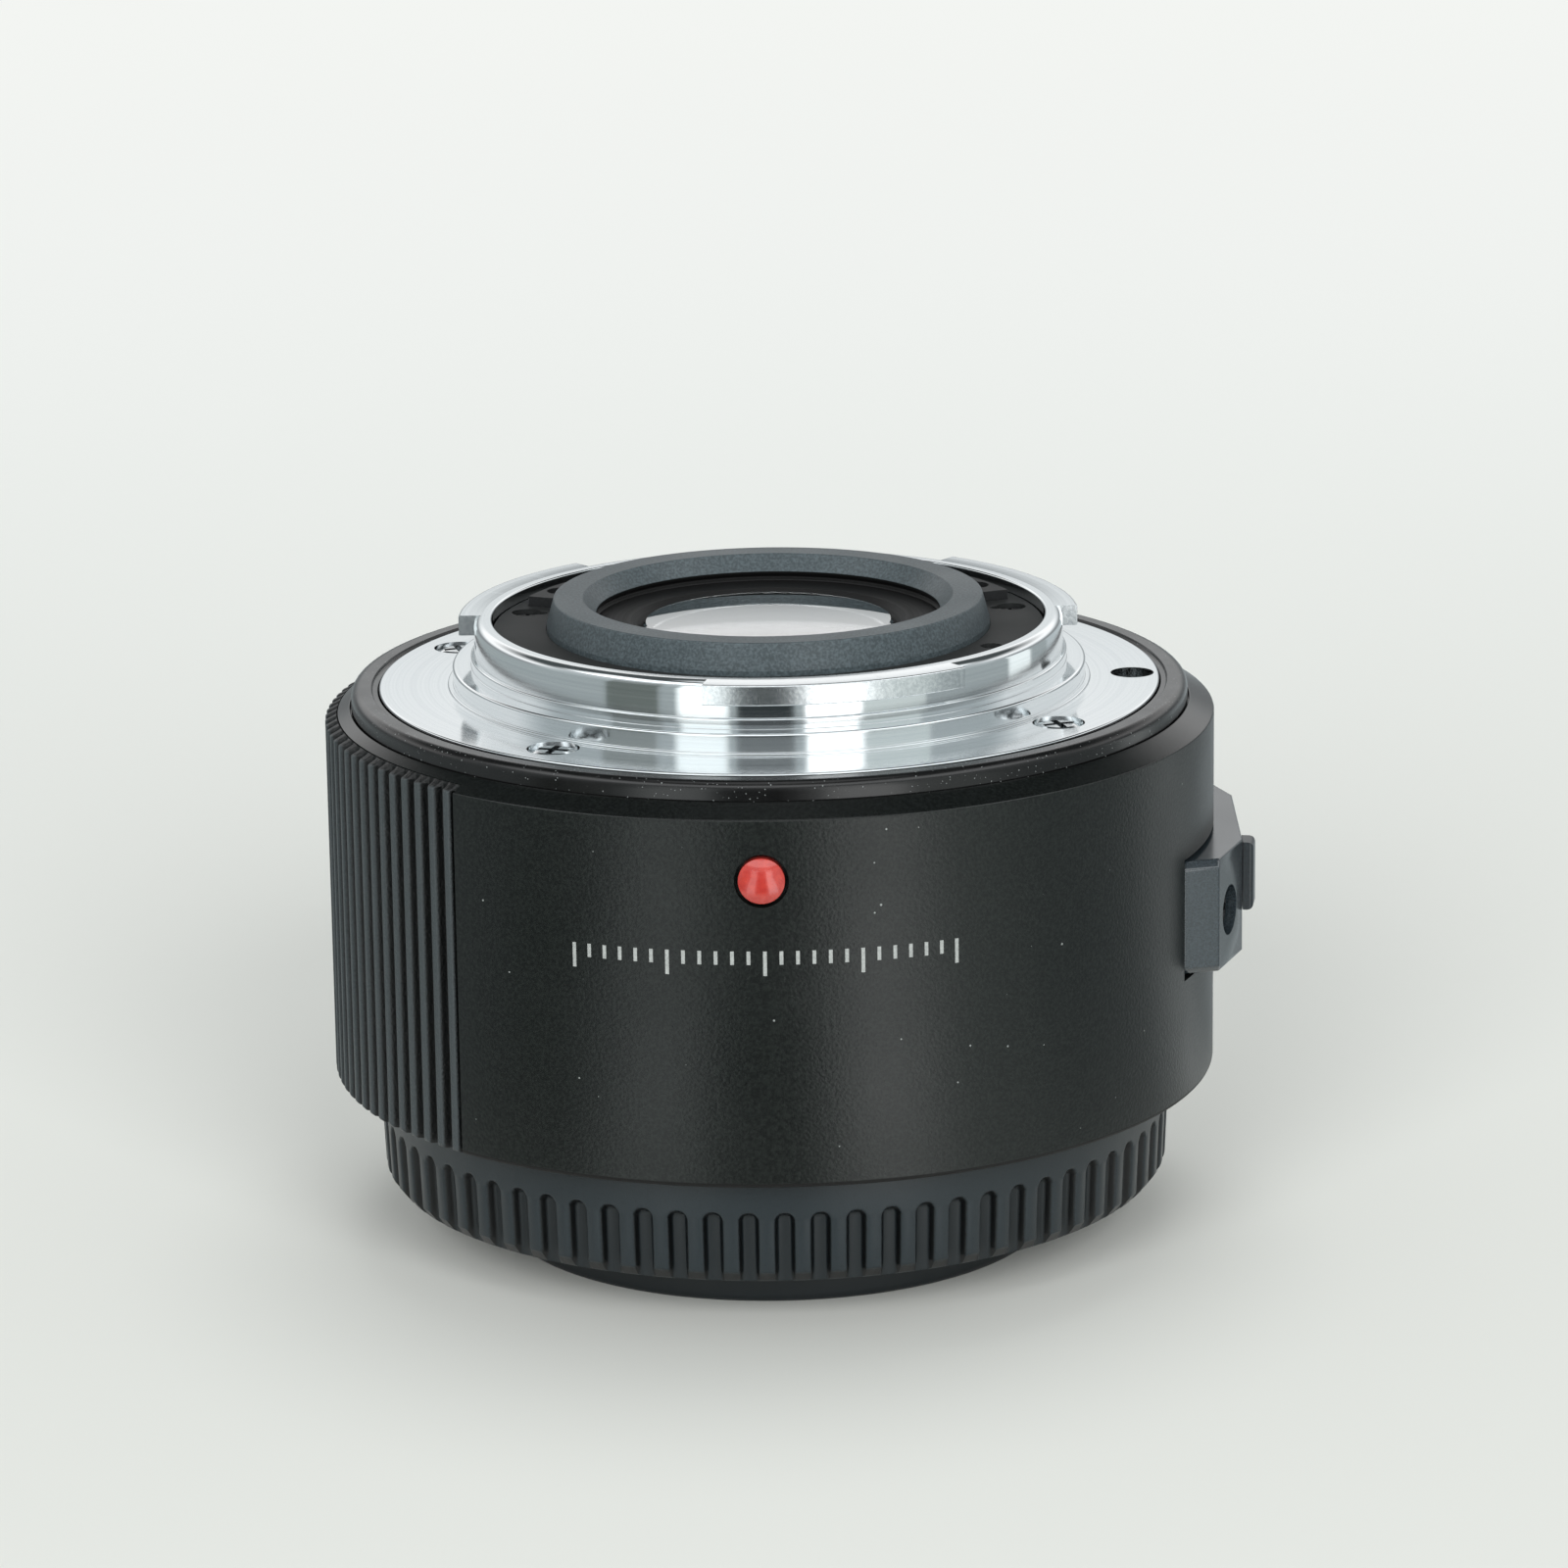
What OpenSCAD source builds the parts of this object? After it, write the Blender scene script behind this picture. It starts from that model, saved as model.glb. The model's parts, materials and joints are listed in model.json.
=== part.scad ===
// Camera teleconverter, standing on its lens-side dust cap.
// The optical axis is Z, the floor is z = 0 and the camera side is up.
// Angles called az are counted from -Y (the index bead's side) towards +X (the release side).

/* [Bayonet] */
// Diameter of the register collar, from which the rings outside and inside it are built up
register_d = 52.7; // [48:0.1:58]
// Height of the register collar
register_h = 1.68; // [1.4:0.02:1.9]
// Width of the flange outside the register
flange_w = 6.15; // [5.5:0.05:7]
// Thickness of the camera-side flange
flange_t = 2; // [1.8:0.1:2.4]
// Step from the register in to the neck
neck_step = 1.85; // [1.6:0.05:2.1]
// How far a lug stands out from the neck
lug_w = 1.3; // [1:0.05:1.45]
// Wall of the bayonet ring
ring_wall = 1.5; // [1.3:0.05:1.8]
// Distance from the flange plane to the lugs
lug_reach = 3.82; // [3.4:0.02:4.2]
// Thickness of a lug
lug_t = 1.3; // [1:0.05:1.4]
// Height of the bayonet ring above the flange
ring_h = 5.52; // [5.3:0.02:6]
// Diameter of the camera-side lock hole
lock_hole_d = 3.6; // [3.3:0.05:4]
// Width of the flange left outside the lock hole
lock_edge = 0.43; // [0.3:0.01:0.6]
// Angle of the lock pin, lock hole and release block
lock_az = 89.2; // [84:0.2:94]
// Angle through which a lens or cap turns to come off
twist = 57; // [50:1:58]

/* [Barrel] */
// Distance between the lens-side and camera-side flange planes
flange_gap = 32.7; // [32.2:0.1:40]
// Width of the bevel on the barrel's camera-side edge
bevel_w = 2.1; // [1.8:0.05:2.4]
// Height of that bevel
bevel_h = 1.05; // [0.6:0.05:1.4]
// Thickness of the inner shoulder behind the lens-side mount
shoulder_t = 2.65; // [2.2:0.05:3]
// Thickness of the ledge that carries the lens barrel
ledge_t = 1.6; // [1.2:0.1:2.4]
// Width of the seal ring round the flange
seal_w = 2.25; // [1.9:0.05:2.6]
// Height of the seal's straight outer foot
seal_foot_h = 0.82; // [0.6:0.02:1]

/* [Grip] */
// Number of ribs on the grip band
grip_ribs = 65; // [40:1:72]
// Angle that the grip band covers
grip_span = 180; // [120:5:190]
// Angle of the grip band's front end
grip_end_az = -43; // [-60:1:-35]
// Height of a rib above the band
rib_h = 0.85; // [0.5:0.05:1]
// Thickness of the band under the ribs
grip_web = 0.45; // [0.3:0.05:0.6]
// Share of the rib pitch that is rib
rib_share = 0.56; // [0.4:0.02:0.7]

/* [Rear tube] */
// Width of the black plate between the bayonet ring and the tube
plate_w = 4.55; // [4.4:0.05:5.2]
// Narrowing of the tube from its foot to its top, on the radius
tube_draft = 0.63; // [0.2:0.05:0.8]
// Wall of the tube at its top
tube_wall = 3.52; // [3:0.05:3.9]
// Height of the tube's top above the bayonet ring
tube_proud = 1.57; // [1:0.05:2]
// Depth of the black plate below the top of the bayonet ring
plate_depth = 1.05; // [0.9:0.05:1.3]
// Thickness of that plate
plate_t = 1.3; // [1:0.1:1.5]

/* [Release] */
// Width of the release block between its outer corners
block_w = 27.64; // [24:0.2:31]
// Width of each sloped wing of the block
wing_run = 6.59; // [6:0.05:7.2]
// Height of the block along the axis
block_h = 9.6; // [8.6:0.1:11]
// Height of the block's middle above the lens-side flange plane
block_mid = 15.35; // [15:0.1:16.5]
// How far the flat middle stands proud of the barrel
block_proud = 2.03; // [1.8:0.05:2.4]
// Drop of the sloped wings from the middle to the outer corners
wing_drop = 2.26; // [1.8:0.05:2.6]
// Diameter of the counterbores in the wings
wing_bore_d = 4.2; // [3.8:0.1:4.6]
// Height of the thumb tab
tab_h = 5.8; // [5:0.1:6.4]
// Width of the thumb tab
tab_w = 2.3; // [2:0.1:2.6]
// Turn of the tab about the optical axis
tab_travel = 9; // [7:0.5:9.5]
// Rise of the lock pin over that turn
pin_rise = 2; // [1.8:0.1:2.2]
// Diameter of the lock pin
pin_d = 3.3; // [2.9:0.05:3.6]
// Length of the lock pin beyond the flange plane
pin_reach = 1.6; // [1.2:0.1:1.7]

/* [Index bead] */
// Diameter of the red index bead
bead_d = 3.7; // [3:0.1:4.4]
// Distance of the bead below the camera-side flange plane
bead_drop = 7.46; // [6.5:0.1:10]

/* [Cap] */
// How far the cap's rim stands out past the flange
cap_lip = 0.9; // [0.8:0.05:1.5]
// Narrowing of the slotted edge towards the bottom, on the radius
cap_taper = 0.4; // [0.1:0.05:0.5]
// Height of the slotted edge
cap_edge_h = 9.2; // [8:0.1:11]
// Height of the foot that the cap stands on
cap_foot_h = 5; // [3:0.1:6]
// Wall of the cap
cap_wall = 1.8; // [1.4:0.1:2.2]
// Number of slots round the edge
cap_slots = 72; // [48:1:80]
// Width of a slot
slot_w = 1.5; // [1:0.05:1.7]
// Length of a slot
slot_l = 5.9; // [4.5:0.1:6.5]
// Depth of a slot
slot_depth = 0.5; // [0.3:0.05:0.6]

/* [Lens barrel] */
// How far the lens barrel's outside lies within the bayonet ring's bore
cell_inset = 3.5; // [3.2:0.05:3.8]
// Wall of the lens barrel round the front glass
cell_wall = 4.4; // [3.6:0.1:5]
// Wall of the lens barrel round the rear glass
cell_top_wall = 2.7; // [2.2:0.1:3.2]
// Width of the light stop's step inside the rear glass
stop_step = 1.7; // [1.4:0.1:3]
// Height of the rear glass above the camera-side flange plane
rear_glass_h = 5.1; // [4.8:0.05:5.4]
// Thickness of the shim under the camera-side mount
shim_t = 0.3; // [0.1:0.05:0.5]

/* [Contacts] */
// Number of contacts
contacts = 8; // [5:1:9]
// Angle between neighbouring contacts
contact_pitch = 6.2; // [5.8:0.1:6.4]
// Diameter of a contact pin
contact_d = 1.2; // [1:0.05:1.3]
// Travel of the contact pins
contact_travel = 0.8; // [0.5:0.05:0.9]

/* [Clearances] */
// Radial running clearance of pins and slides
run_gap = 0.05; // [0.03:0.01:0.08]
// Gap between parts that are only laid in place
lay_gap = 0.1; // [0.05:0.01:0.15]
// Gap round parts that move past each other
move_gap = 0.3; // [0.25:0.05:0.4]
// Gap between the cap's rim and the converter
cap_gap = 0.15; // [0.1:0.05:0.3]

/* [Hidden] */
$fn = 96;
eps = 0.01;

// Screws of the mounts
mount_head_r = 2.05;
mount_head_h = 1.1;
mount_shank_r = 0.85;
mount_shank_l = 3.2;
head_gap = 0.08;
head_sink = 0.08;

// Small screws of the inner parts
small_head_r = 1.15;
small_head_h = 0.6;
small_shank_r = 0.55;
small_shank_l = 2.2;

// Radii of the bayonets, from the register outwards and inwards
register_r = register_d / 2;
flange_r = register_r + flange_w;
neck_r = register_r - neck_step;
lug_r = neck_r + lug_w;
throat_r = neck_r - ring_wall;
rear_screw_ring = register_r + mount_head_r + 0.6;
front_screw_ring = flange_r - mount_head_r - 0.85;
lock_ring = flange_r - lock_edge - lock_hole_d / 2;
spigot_r = register_r - lay_gap;
ledge_r = neck_r - 0.3;

// Radii of the seal and barrel
seal_in_r = flange_r + lay_gap;
seal_out_r = seal_in_r + seal_w;
lip_r = seal_out_r + lay_gap;
barrel_r = lip_r + bevel_w;
grip_in_r = barrel_r - rib_h - grip_web;
pin_r = pin_d / 2;
collar_r = pin_r + 0.28;
cam_t = 0.8;
cam_in_r = lock_ring + collar_r + 2 * move_gap;
cam_out_r = cam_in_r + cam_t;
cam_mid_r = cam_in_r + cam_t / 2;
bore_r = cam_out_r + move_gap;
barrel_wall = barrel_r - bore_r;

// Radii of the tube and lens barrel, from the bayonet ring's bore inwards
cell_neck_r = throat_r - 0.4;
tube_foot_r = throat_r - plate_w;
tube_seat_r = tube_foot_r + run_gap;
tube_top_r = tube_foot_r - tube_draft;
tube_bore_r = tube_top_r - tube_wall;
cell_top_r = tube_bore_r - lay_gap;
rear_bore_r = cell_top_r - cell_top_wall;
rear_glass_r = rear_bore_r - lay_gap;
stop_r = rear_glass_r - stop_step;
cell_r = throat_r - cell_inset;
front_bore_r = cell_r - cell_wall;
front_glass_r = front_bore_r - lay_gap;
contact_ring = cell_r + 1.9;

// Heights, from the floor up
lens_z = cap_foot_h + cap_edge_h + cap_gap;
camera_z = lens_z + flange_gap;
claw_slack = 0.22;
front_ring_t = lug_reach - claw_slack;
front_seat_z = lens_z + front_ring_t;
shoulder_z = front_seat_z + shoulder_t;
seat_z = camera_z - flange_t;
ring_top_z = camera_z + ring_h;
spigot_h = 1.5;
shim_top_z = seat_z - spigot_h;
cell_flange_t = 1.7;
cell_flange_z = shim_top_z - shim_t - cell_flange_t;
plate_top_z = ring_top_z - plate_depth;
plate_z = plate_top_z - plate_t;
tube_top_z = ring_top_z + tube_proud;
baffle_t = 1.2;
baffle_z = lens_z + ring_h + move_gap;
cell_front_z = baffle_z + baffle_t;
barrel_edge_z = seat_z + 0.47 - bevel_h;

// Standard bayonet angles: where each lug starts, and how far it runs
lug_starts = [-12, 92, 220];
lug_span = 49.5;
claw_lead = 6;
claw_drop = 0.05;
leaf_t = 0.24;
leaf_gap = 0.04;
leaf_in = 0.65;
leaf_out = 1.6;
leaf_start = 2.4;
leaf_short = 4.4;
stop_az = 3.2;
rear_screw_az = [-36.7, 53.6, 131, 245.5];
front_screw_az = [40, 140, 220, 320];
contact_az = 180;
bead_az = -1.3;
throat_slack = 0.25;
claw_r = neck_r + throat_slack;
lug_room_r = lug_r + 1.1;

// A direction az becomes the local X axis, with Y along the rising angle
module at_az(az) {
    rotate([0, 0, az - 90])
        children();
}

module ring(r_in, r_out, z0, z1) {
    rotate_extrude()
        translate([r_in, z0])
            square([r_out - r_in, z1 - z0]);
}

module sector(r_in, r_out, z0, z1, az0, az1) {
    at_az(az0)
        rotate_extrude(angle = az1 - az0)
            translate([r_in, z0])
                square([r_out - r_in, z1 - z0]);
}

module rod(r, z0, z1) {
    translate([0, 0, z0])
        cylinder(r = r, h = z1 - z0);
}

// Points of an arc, for outlines
function arc(cx, cy, rx, ry, a0, a1, n) =
    [for (i = [0 : n]) let (a = a0 + (a1 - a0) * i / n) [cx + rx * cos(a), cy + ry * sin(a)]];

// Cross-head screw with the top of its head at z = 0 and its shank below
module cross_screw(head_r, head_h, shank_r, shank_l) {
    slot = head_r * 0.3;
    difference() {
        union() {
            rotate_extrude()
                polygon([[0, -head_h], [head_r, -head_h], [head_r, -head_h * 0.35],
                    [head_r * 0.85, -head_h * 0.1], [head_r * 0.5, 0], [0, 0]]);
            rod(shank_r, -head_h - shank_l, -head_h);
        }
        for (turn = [0, 90])
            rotate([0, 0, turn])
                translate([-head_r * 0.62, -slot / 2, -head_h * 0.6])
                    cube([head_r * 1.24, slot, head_h]);
    }
}

// Room for a screw: counterbore from z = 0 down, then a clearance or thread hole
module screw_room(head_r, head_h, hole_r, hole_l) {
    rod(head_r, -head_h, eps + 2);
    rod(hole_r, -head_h - hole_l, -head_h + eps);
}

// Release block, in the frame of lock_az: X outwards, Y along the rising angle
block_z = lens_z + block_mid - block_h / 2;
block_flat_w = block_w - 2 * wing_run;
block_flat_x = barrel_r + block_proud;
block_corner_x = block_flat_x - wing_drop;
block_seat_depth = 0.8;
block_seat_r = barrel_r - block_seat_depth;
block_gap = 0.35;
block_flare = 0.8;
block_chamfer = 0.5;
wing_angle = atan2(wing_drop, wing_run);
wing_mid_y = block_flat_w / 2 + wing_run * 0.56;
wing_mid_x = block_flat_x - wing_drop * 0.56;
wing_bore_depth = 1.5;
wing_head_r = wing_bore_d / 2 - 0.12;
wing_head_h = 0.8;
wing_hole_l = 6;

// Thumb tab and cam plate
tab_back_az = 7.9;
tab_az = lock_az - tab_back_az;
tab_in_x = (block_flat_x + lay_gap - tab_w / 2 * sin(tab_back_az)) / cos(tab_back_az);
tab_proud = 1.2;
tab_z = block_z + block_h - 0.45 - tab_h;
tab_round = 0.42;
stem_w = 1.6;
stem_h = 3;
stem_z = tab_z + tab_h / 2 - stem_h / 2;
stem_half_az = asin(stem_w / 2 / bore_r);
window_az0 = tab_az - stem_half_az - 0.6;
window_az1 = tab_az + tab_travel + stem_half_az + 0.6;
cam_z0 = shoulder_z + 0.6;
cam_z1 = stem_z + stem_h + 0.5;
rivet_r = 0.7;

// Lock pin
collar_z = shoulder_z + 0.05;
collar_h = 3.4;
stem_r = 0.9;
peg_r = 0.7;
peg_z = collar_z + collar_h - 1.5;
spring_z0 = collar_z + collar_h;
spring_l = 5.8;
bracket_t = 1;
bracket_z = spring_z0 + spring_l;
spring_wire_r = 0.17;
spring_mean_r = stem_r + 0.25 + spring_wire_r;
spring_turns = 6;
bracket_x0 = lock_ring - 2.5;
bracket_x1 = lock_ring + 0.9;
bracket_post_y = pin_r + 1.75;
bracket_foot_w = 3.4;

// Optical stack: edge thickness of each piece of glass and bulge of its faces
cement_gap = 0.02;
retainer_h = 1.5;
front_lens_edge = 2.6;
front_spacer_h = 3;
doublet_a_edge = 3.4;
doublet_b_edge = 2.2;
retainer_sink = 0.6;
front_lens_z = cell_front_z + retainer_sink + retainer_h;
front_spacer_z = front_lens_z + front_lens_edge;
front_a_z = front_spacer_z + front_spacer_h;
front_b_z = front_a_z + doublet_a_edge;
front_stop_z = front_b_z + doublet_b_edge;
rear_bulge = 1.35;
rear_lens_edge = 1.9;
rear_spacer_b_h = 2.4;
field_edge = 1.6;
rear_spacer_a_h = 2.6;
middle_b_edge = 2;
middle_a_edge = 3;
rear_lens_z = camera_z + rear_glass_h - rear_bulge - rear_lens_edge;
spacer_b_z = rear_lens_z - rear_spacer_b_h;
field_z = spacer_b_z - field_edge;
spacer_a_z = field_z - rear_spacer_a_h;
middle_b_z = spacer_a_z - middle_b_edge;
middle_a_z = middle_b_z - middle_a_edge;
rear_stop_z = middle_a_z;
spacer_wall = 1.2;
seat_rim = spacer_wall + 0.05;
rear_rim = 0.9;
front_dip = 1.2;
middle_dip = 1;
cell_top_z = rear_lens_z + rear_lens_edge + 0.8;
tube_floor_z = plate_z - 3.2;

// Contacts and wiring
block_in_r = cell_r + 0.4;
front_block_r = contact_ring + 1.6;
front_block_end = 5.5;
front_block_span = contact_pitch * (contacts - 1) / 2 + front_block_end;
front_block_ear = 4;
pad_h = 0.5;
rear_block_az0 = 112;
rear_block_top_z = ring_top_z - 0.25;
rear_block_in_r = tube_seat_r + 0.12;
rear_block_out_r = throat_r - 1.2;
rear_block_hole_l = 3;
pad_ring = (rear_block_in_r + rear_block_out_r) / 2;
pad_l = rear_block_out_r - rear_block_in_r - 0.95;
pad_w = 1.3;
pad_proud = 0.12;
block_low_z = baffle_z - 0.15;
pin_tip_z = block_low_z - contact_travel - 0.2;
pin_guide_z = cell_front_z + 0.6;
chamber_r = contact_d / 2 + 0.42;
chamber_top_z = cell_front_z + 4.6;
pin_collar_h = 0.7;
pin_tail_r = 0.35;
pin_tail_h = 1.2;
coil_wire_r = 0.1;
board_t = 1.2;
board_rise = 5.8;
board_z = chamber_top_z + board_rise;
board_r = ledge_r + 1.4;
board_collar_t = 1.6;
board_collar_r = throat_r;
board_screw_ring = (cell_r + board_collar_r) / 2 + 0.2;
flex_t = 0.2;
flex_w = 8;
flex_x = cell_neck_r - 0.4;
rear_plate_screw_az = [-105.5, 104.5];
plate_screw_ring = throat_r - 1.9;

module outer_barrel() {
    color("#1c1d1d")
        difference() {
            rotate_extrude()
                polygon([
                    [flange_r + lay_gap * 2, lens_z], [barrel_r - 0.3, lens_z], [barrel_r, lens_z + 0.3],
                    [barrel_r, barrel_edge_z], [barrel_r - bevel_w, barrel_edge_z + bevel_h],
                    [lip_r, barrel_edge_z + bevel_h], [lip_r, seat_z], [register_r, seat_z],
                    [register_r, cell_flange_z], [ledge_r, cell_flange_z],
                    [ledge_r, cell_flange_z - ledge_t], [bore_r, cell_flange_z - ledge_t],
                    [bore_r, shoulder_z], [lug_room_r, shoulder_z], [lug_room_r, front_seat_z],
                    [flange_r + lay_gap * 2, front_seat_z]]);
            grip_pocket();
            release_pocket();
            for (az = rear_screw_az)
                at_az(az)
                    translate([rear_screw_ring, 0, 0])
                        rod(mount_shank_r, seat_z - mount_shank_l, seat_z + 1);
            for (az = front_screw_az)
                at_az(az)
                    translate([front_screw_ring, 0, 0])
                        rod(mount_shank_r, front_seat_z - 1, shoulder_z + 1);
            at_az(lock_az)
                translate([lock_ring, 0, 0])
                    rod(pin_r + 0.1, front_seat_z - 1, shoulder_z + 1);
            at_az(lock_az)
                translate([(bracket_x0 + bracket_x1) / 2, bracket_screw_y(), 0])
                    rod(small_shank_r, shoulder_z - small_shank_l, shoulder_z + 1);
            bead_room();
        }
}

// Where the grip band lies: open at the barrel's lens-side end
module grip_pocket() {
    sector(grip_in_r, barrel_r + 1, lens_z - 1, camera_z, grip_end_az - grip_span, grip_end_az);
}

// Seat, window and threads of the release block
module release_pocket() {
    at_az(lock_az)
        difference() {
            block_outline(block_gap);
            rod(block_seat_r, block_z - 1, block_z + block_h + 1);
        }
    release_window();
    release_screw_places()
        rod(small_shank_r + 0.15, -barrel_wall - 4, 0);
}

module release_window() {
    sector(bore_r - 1, block_flat_x + 2, stem_z - move_gap, stem_z + stem_h + move_gap,
        window_az0, window_az1);
}

// The block's outline in plan and in side view, grown by a gap
module block_outline(gap) {
    half_w = block_w / 2 + gap;
    half_flat = block_flat_w / 2 + gap;
    top = block_z + block_h + gap;
    base = block_z - gap;
    foot_x = block_corner_x - 3;
    intersection() {
        translate([0, 0, base])
            linear_extrude(top - base)
                polygon([[foot_x, -half_w - block_flare], [block_corner_x, -half_w],
                    [block_flat_x, -half_flat], [block_flat_x, half_flat],
                    [block_corner_x, half_w], [foot_x, half_w + block_flare]]);
        rotate([90, 0, 90])
            linear_extrude(block_flat_x + 1)
                polygon([[-half_w - 1, base], [half_w + 1, base],
                    [half_w + 1, top - block_chamfer], [half_w - block_chamfer / 2, top],
                    [-half_w + block_chamfer / 2, top], [-half_w - 1, top - block_chamfer]]);
    }
}

// The screws of the block stand square on its sloped wings
module release_screw_places() {
    for (side = [-1, 1])
        at_az(lock_az)
            translate([wing_mid_x, side * wing_mid_y, block_z + block_h / 2 - 0.2])
                rotate([0, 0, side * wing_angle])
                    rotate([0, 90, 0])
                        children();
}

module release_housing() {
    color("#26292b")
        difference() {
            at_az(lock_az)
                difference() {
                    block_outline(0);
                    rod(block_seat_r + lay_gap, block_z - 1, block_z + block_h + 1);
                }
            release_window();
            release_screw_places()
                screw_room(wing_bore_d / 2, wing_bore_depth, small_shank_r + lay_gap,
                    wing_hole_l);
        }
}

module release_screws() {
    color("#202224")
        release_screw_places()
            translate([0, 0, wing_head_h - wing_bore_depth])
                cross_screw(wing_head_r, wing_head_h, small_shank_r, barrel_wall);
}

// Side view of the thumb tab: a bar with rounded outer corners
module tab_profile() {
    tab_out_x = tab_in_x + tab_proud;
    translate([tab_in_x, tab_z])
        square([tab_proud - tab_round, tab_h]);
    translate([tab_in_x, tab_z + tab_round])
        square([tab_proud, tab_h - 2 * tab_round]);
    for (z = [tab_z + tab_round, tab_z + tab_h - tab_round])
        translate([tab_out_x - tab_round, z])
            circle(tab_round);
}

module release_tab() {
    color("#2b2f33")
        at_az(tab_az) {
            difference() {
                translate([0, tab_w / 2, 0])
                    rotate([90, 0, 0])
                        linear_extrude(tab_w)
                            tab_profile();
                rotate([0, 0, tab_back_az])
                    translate([block_flat_x + lay_gap - tab_w, -tab_w * 4, tab_z - 1])
                        cube([tab_w, tab_w * 8, tab_h + 2]);
            }
            translate([cam_out_r + eps, -stem_w / 2, stem_z])
                cube([tab_in_x + tab_proud / 2 - cam_out_r, stem_w, stem_h]);
            translate([cam_in_r, 0, stem_z + stem_h / 2])
                rotate([0, 90, 0])
                    cylinder(r = rivet_r, h = cam_t + 1);
        }
}

// The cam slot climbs by pin_rise towards the lens-index side over tab_travel
module cam_slot() {
    run = cam_mid_r * tab_travel * PI / 180;
    slot_r = peg_r + 0.12;
    climb = atan2(pin_rise, run);
    at_az(lock_az - tab_travel / 2)
        translate([cam_in_r - 1, 0, peg_z + pin_rise / 2])
            rotate([-climb, 0, 0]) {
                translate([0, -norm([run, pin_rise]) / 2, -slot_r])
                    cube([cam_t + 3, norm([run, pin_rise]), slot_r * 2]);
                for (side = [-1, 1])
                    translate([0, side * norm([run, pin_rise]) / 2, 0])
                        rotate([0, 90, 0])
                            cylinder(r = slot_r, h = cam_t + 3);
            }
}

module cam_plate() {
    color("#8d9094")
        difference() {
            sector(cam_in_r, cam_out_r, cam_z0, cam_z1, tab_az - 4, lock_az + 4);
            cam_slot();
            at_az(tab_az)
                translate([cam_in_r - 1, 0, stem_z + stem_h / 2])
                    rotate([0, 90, 0])
                        cylinder(r = rivet_r + 0.02, h = cam_t + 3);
        }
}

module lock_pin() {
    color("#b9bcbf")
        at_az(lock_az)
            translate([lock_ring, 0, 0]) {
                rotate_extrude()
                    polygon([[0, lens_z - pin_reach], [pin_r - 0.4, lens_z - pin_reach],
                        [pin_r, lens_z - pin_reach + 0.4], [pin_r, collar_z], [collar_r, collar_z],
                        [collar_r, spring_z0], [stem_r, spring_z0],
                        [stem_r, bracket_z + bracket_t + 0.6], [0, bracket_z + bracket_t + 0.6]]);
                translate([0, 0, peg_z])
                    rotate([0, 90, 0])
                        cylinder(r = peg_r, h = cam_out_r - 0.15 - lock_ring);
            }
}

// A coil spring as one tube: rings of points along a helix, with a flat cap at each end
module coil(mean_r, wire_r, z0, z1, turns, rings_a_turn, sides) {
    count = round(turns * rings_a_turn);
    points = [for (i = [0 : count], j = [0 : sides - 1])
        let (a = 360 * i / rings_a_turn, b = 360 * j / sides, r = mean_r + wire_r * cos(b))
            [r * cos(a), r * sin(a),
                z0 + wire_r + (z1 - z0 - 2 * wire_r) * i / count + wire_r * sin(b)]];
    quads = [for (i = [0 : count - 1], j = [0 : sides - 1])
        let (k = (j + 1) % sides, p = i * sides)
            [p + j, p + k, p + sides + k, p + sides + j]];
    walls = [for (q = quads, half = [0, 1]) half == 0 ? [q[0], q[1], q[2]] : [q[0], q[2], q[3]]];
    first = [for (j = [1 : sides - 2]) [0, j + 1, j]];
    last = [for (j = [1 : sides - 2]) [count * sides, count * sides + j, count * sides + j + 1]];
    polyhedron(points, concat(walls, first, last));
}

module lock_spring() {
    pitch = (spring_l - 2 * lay_gap - 2 * spring_wire_r) / spring_turns;
    echo(lock_spring_gap = pitch - 2 * spring_wire_r);
    color("#a9acb0")
        at_az(lock_az)
            translate([lock_ring, 0, 0])
                coil(spring_mean_r, spring_wire_r, spring_z0 + lay_gap, bracket_z - lay_gap,
                    spring_turns, 8, 6);
}

function bracket_screw_y() = bracket_post_y + bracket_t + bracket_foot_w / 2 - 0.1;

// Bent strip: a foot on the shoulder, a post, and an arm over the pin
module spring_bracket() {
    depth = bracket_x1 - bracket_x0;
    color("#9a9da1")
        at_az(lock_az)
            difference() {
                translate([bracket_x0, 0, 0]) {
                    translate([0, bracket_post_y, shoulder_z])
                        cube([depth, bracket_t, bracket_z + bracket_t - shoulder_z]);
                    translate([0, bracket_post_y, shoulder_z])
                        cube([depth, bracket_t + bracket_foot_w, bracket_t]);
                    translate([0, -stem_r - 1, bracket_z])
                        cube([depth, bracket_post_y + stem_r + 1 + eps, bracket_t]);
                }
                translate([lock_ring, 0, 0])
                    rod(stem_r + run_gap, bracket_z - 1, bracket_z + bracket_t + 1);
                translate([(bracket_x0 + bracket_x1) / 2, bracket_screw_y(), 0])
                    rod(small_shank_r + lay_gap, shoulder_z - 1, shoulder_z + 3);
            }
}

module bracket_screw() {
    color("#77797c")
        at_az(lock_az)
            translate([(bracket_x0 + bracket_x1) / 2, bracket_screw_y(),
                shoulder_z + bracket_t + small_head_h])
                cross_screw(small_head_r, small_head_h, small_shank_r, small_shank_l);
}

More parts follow.
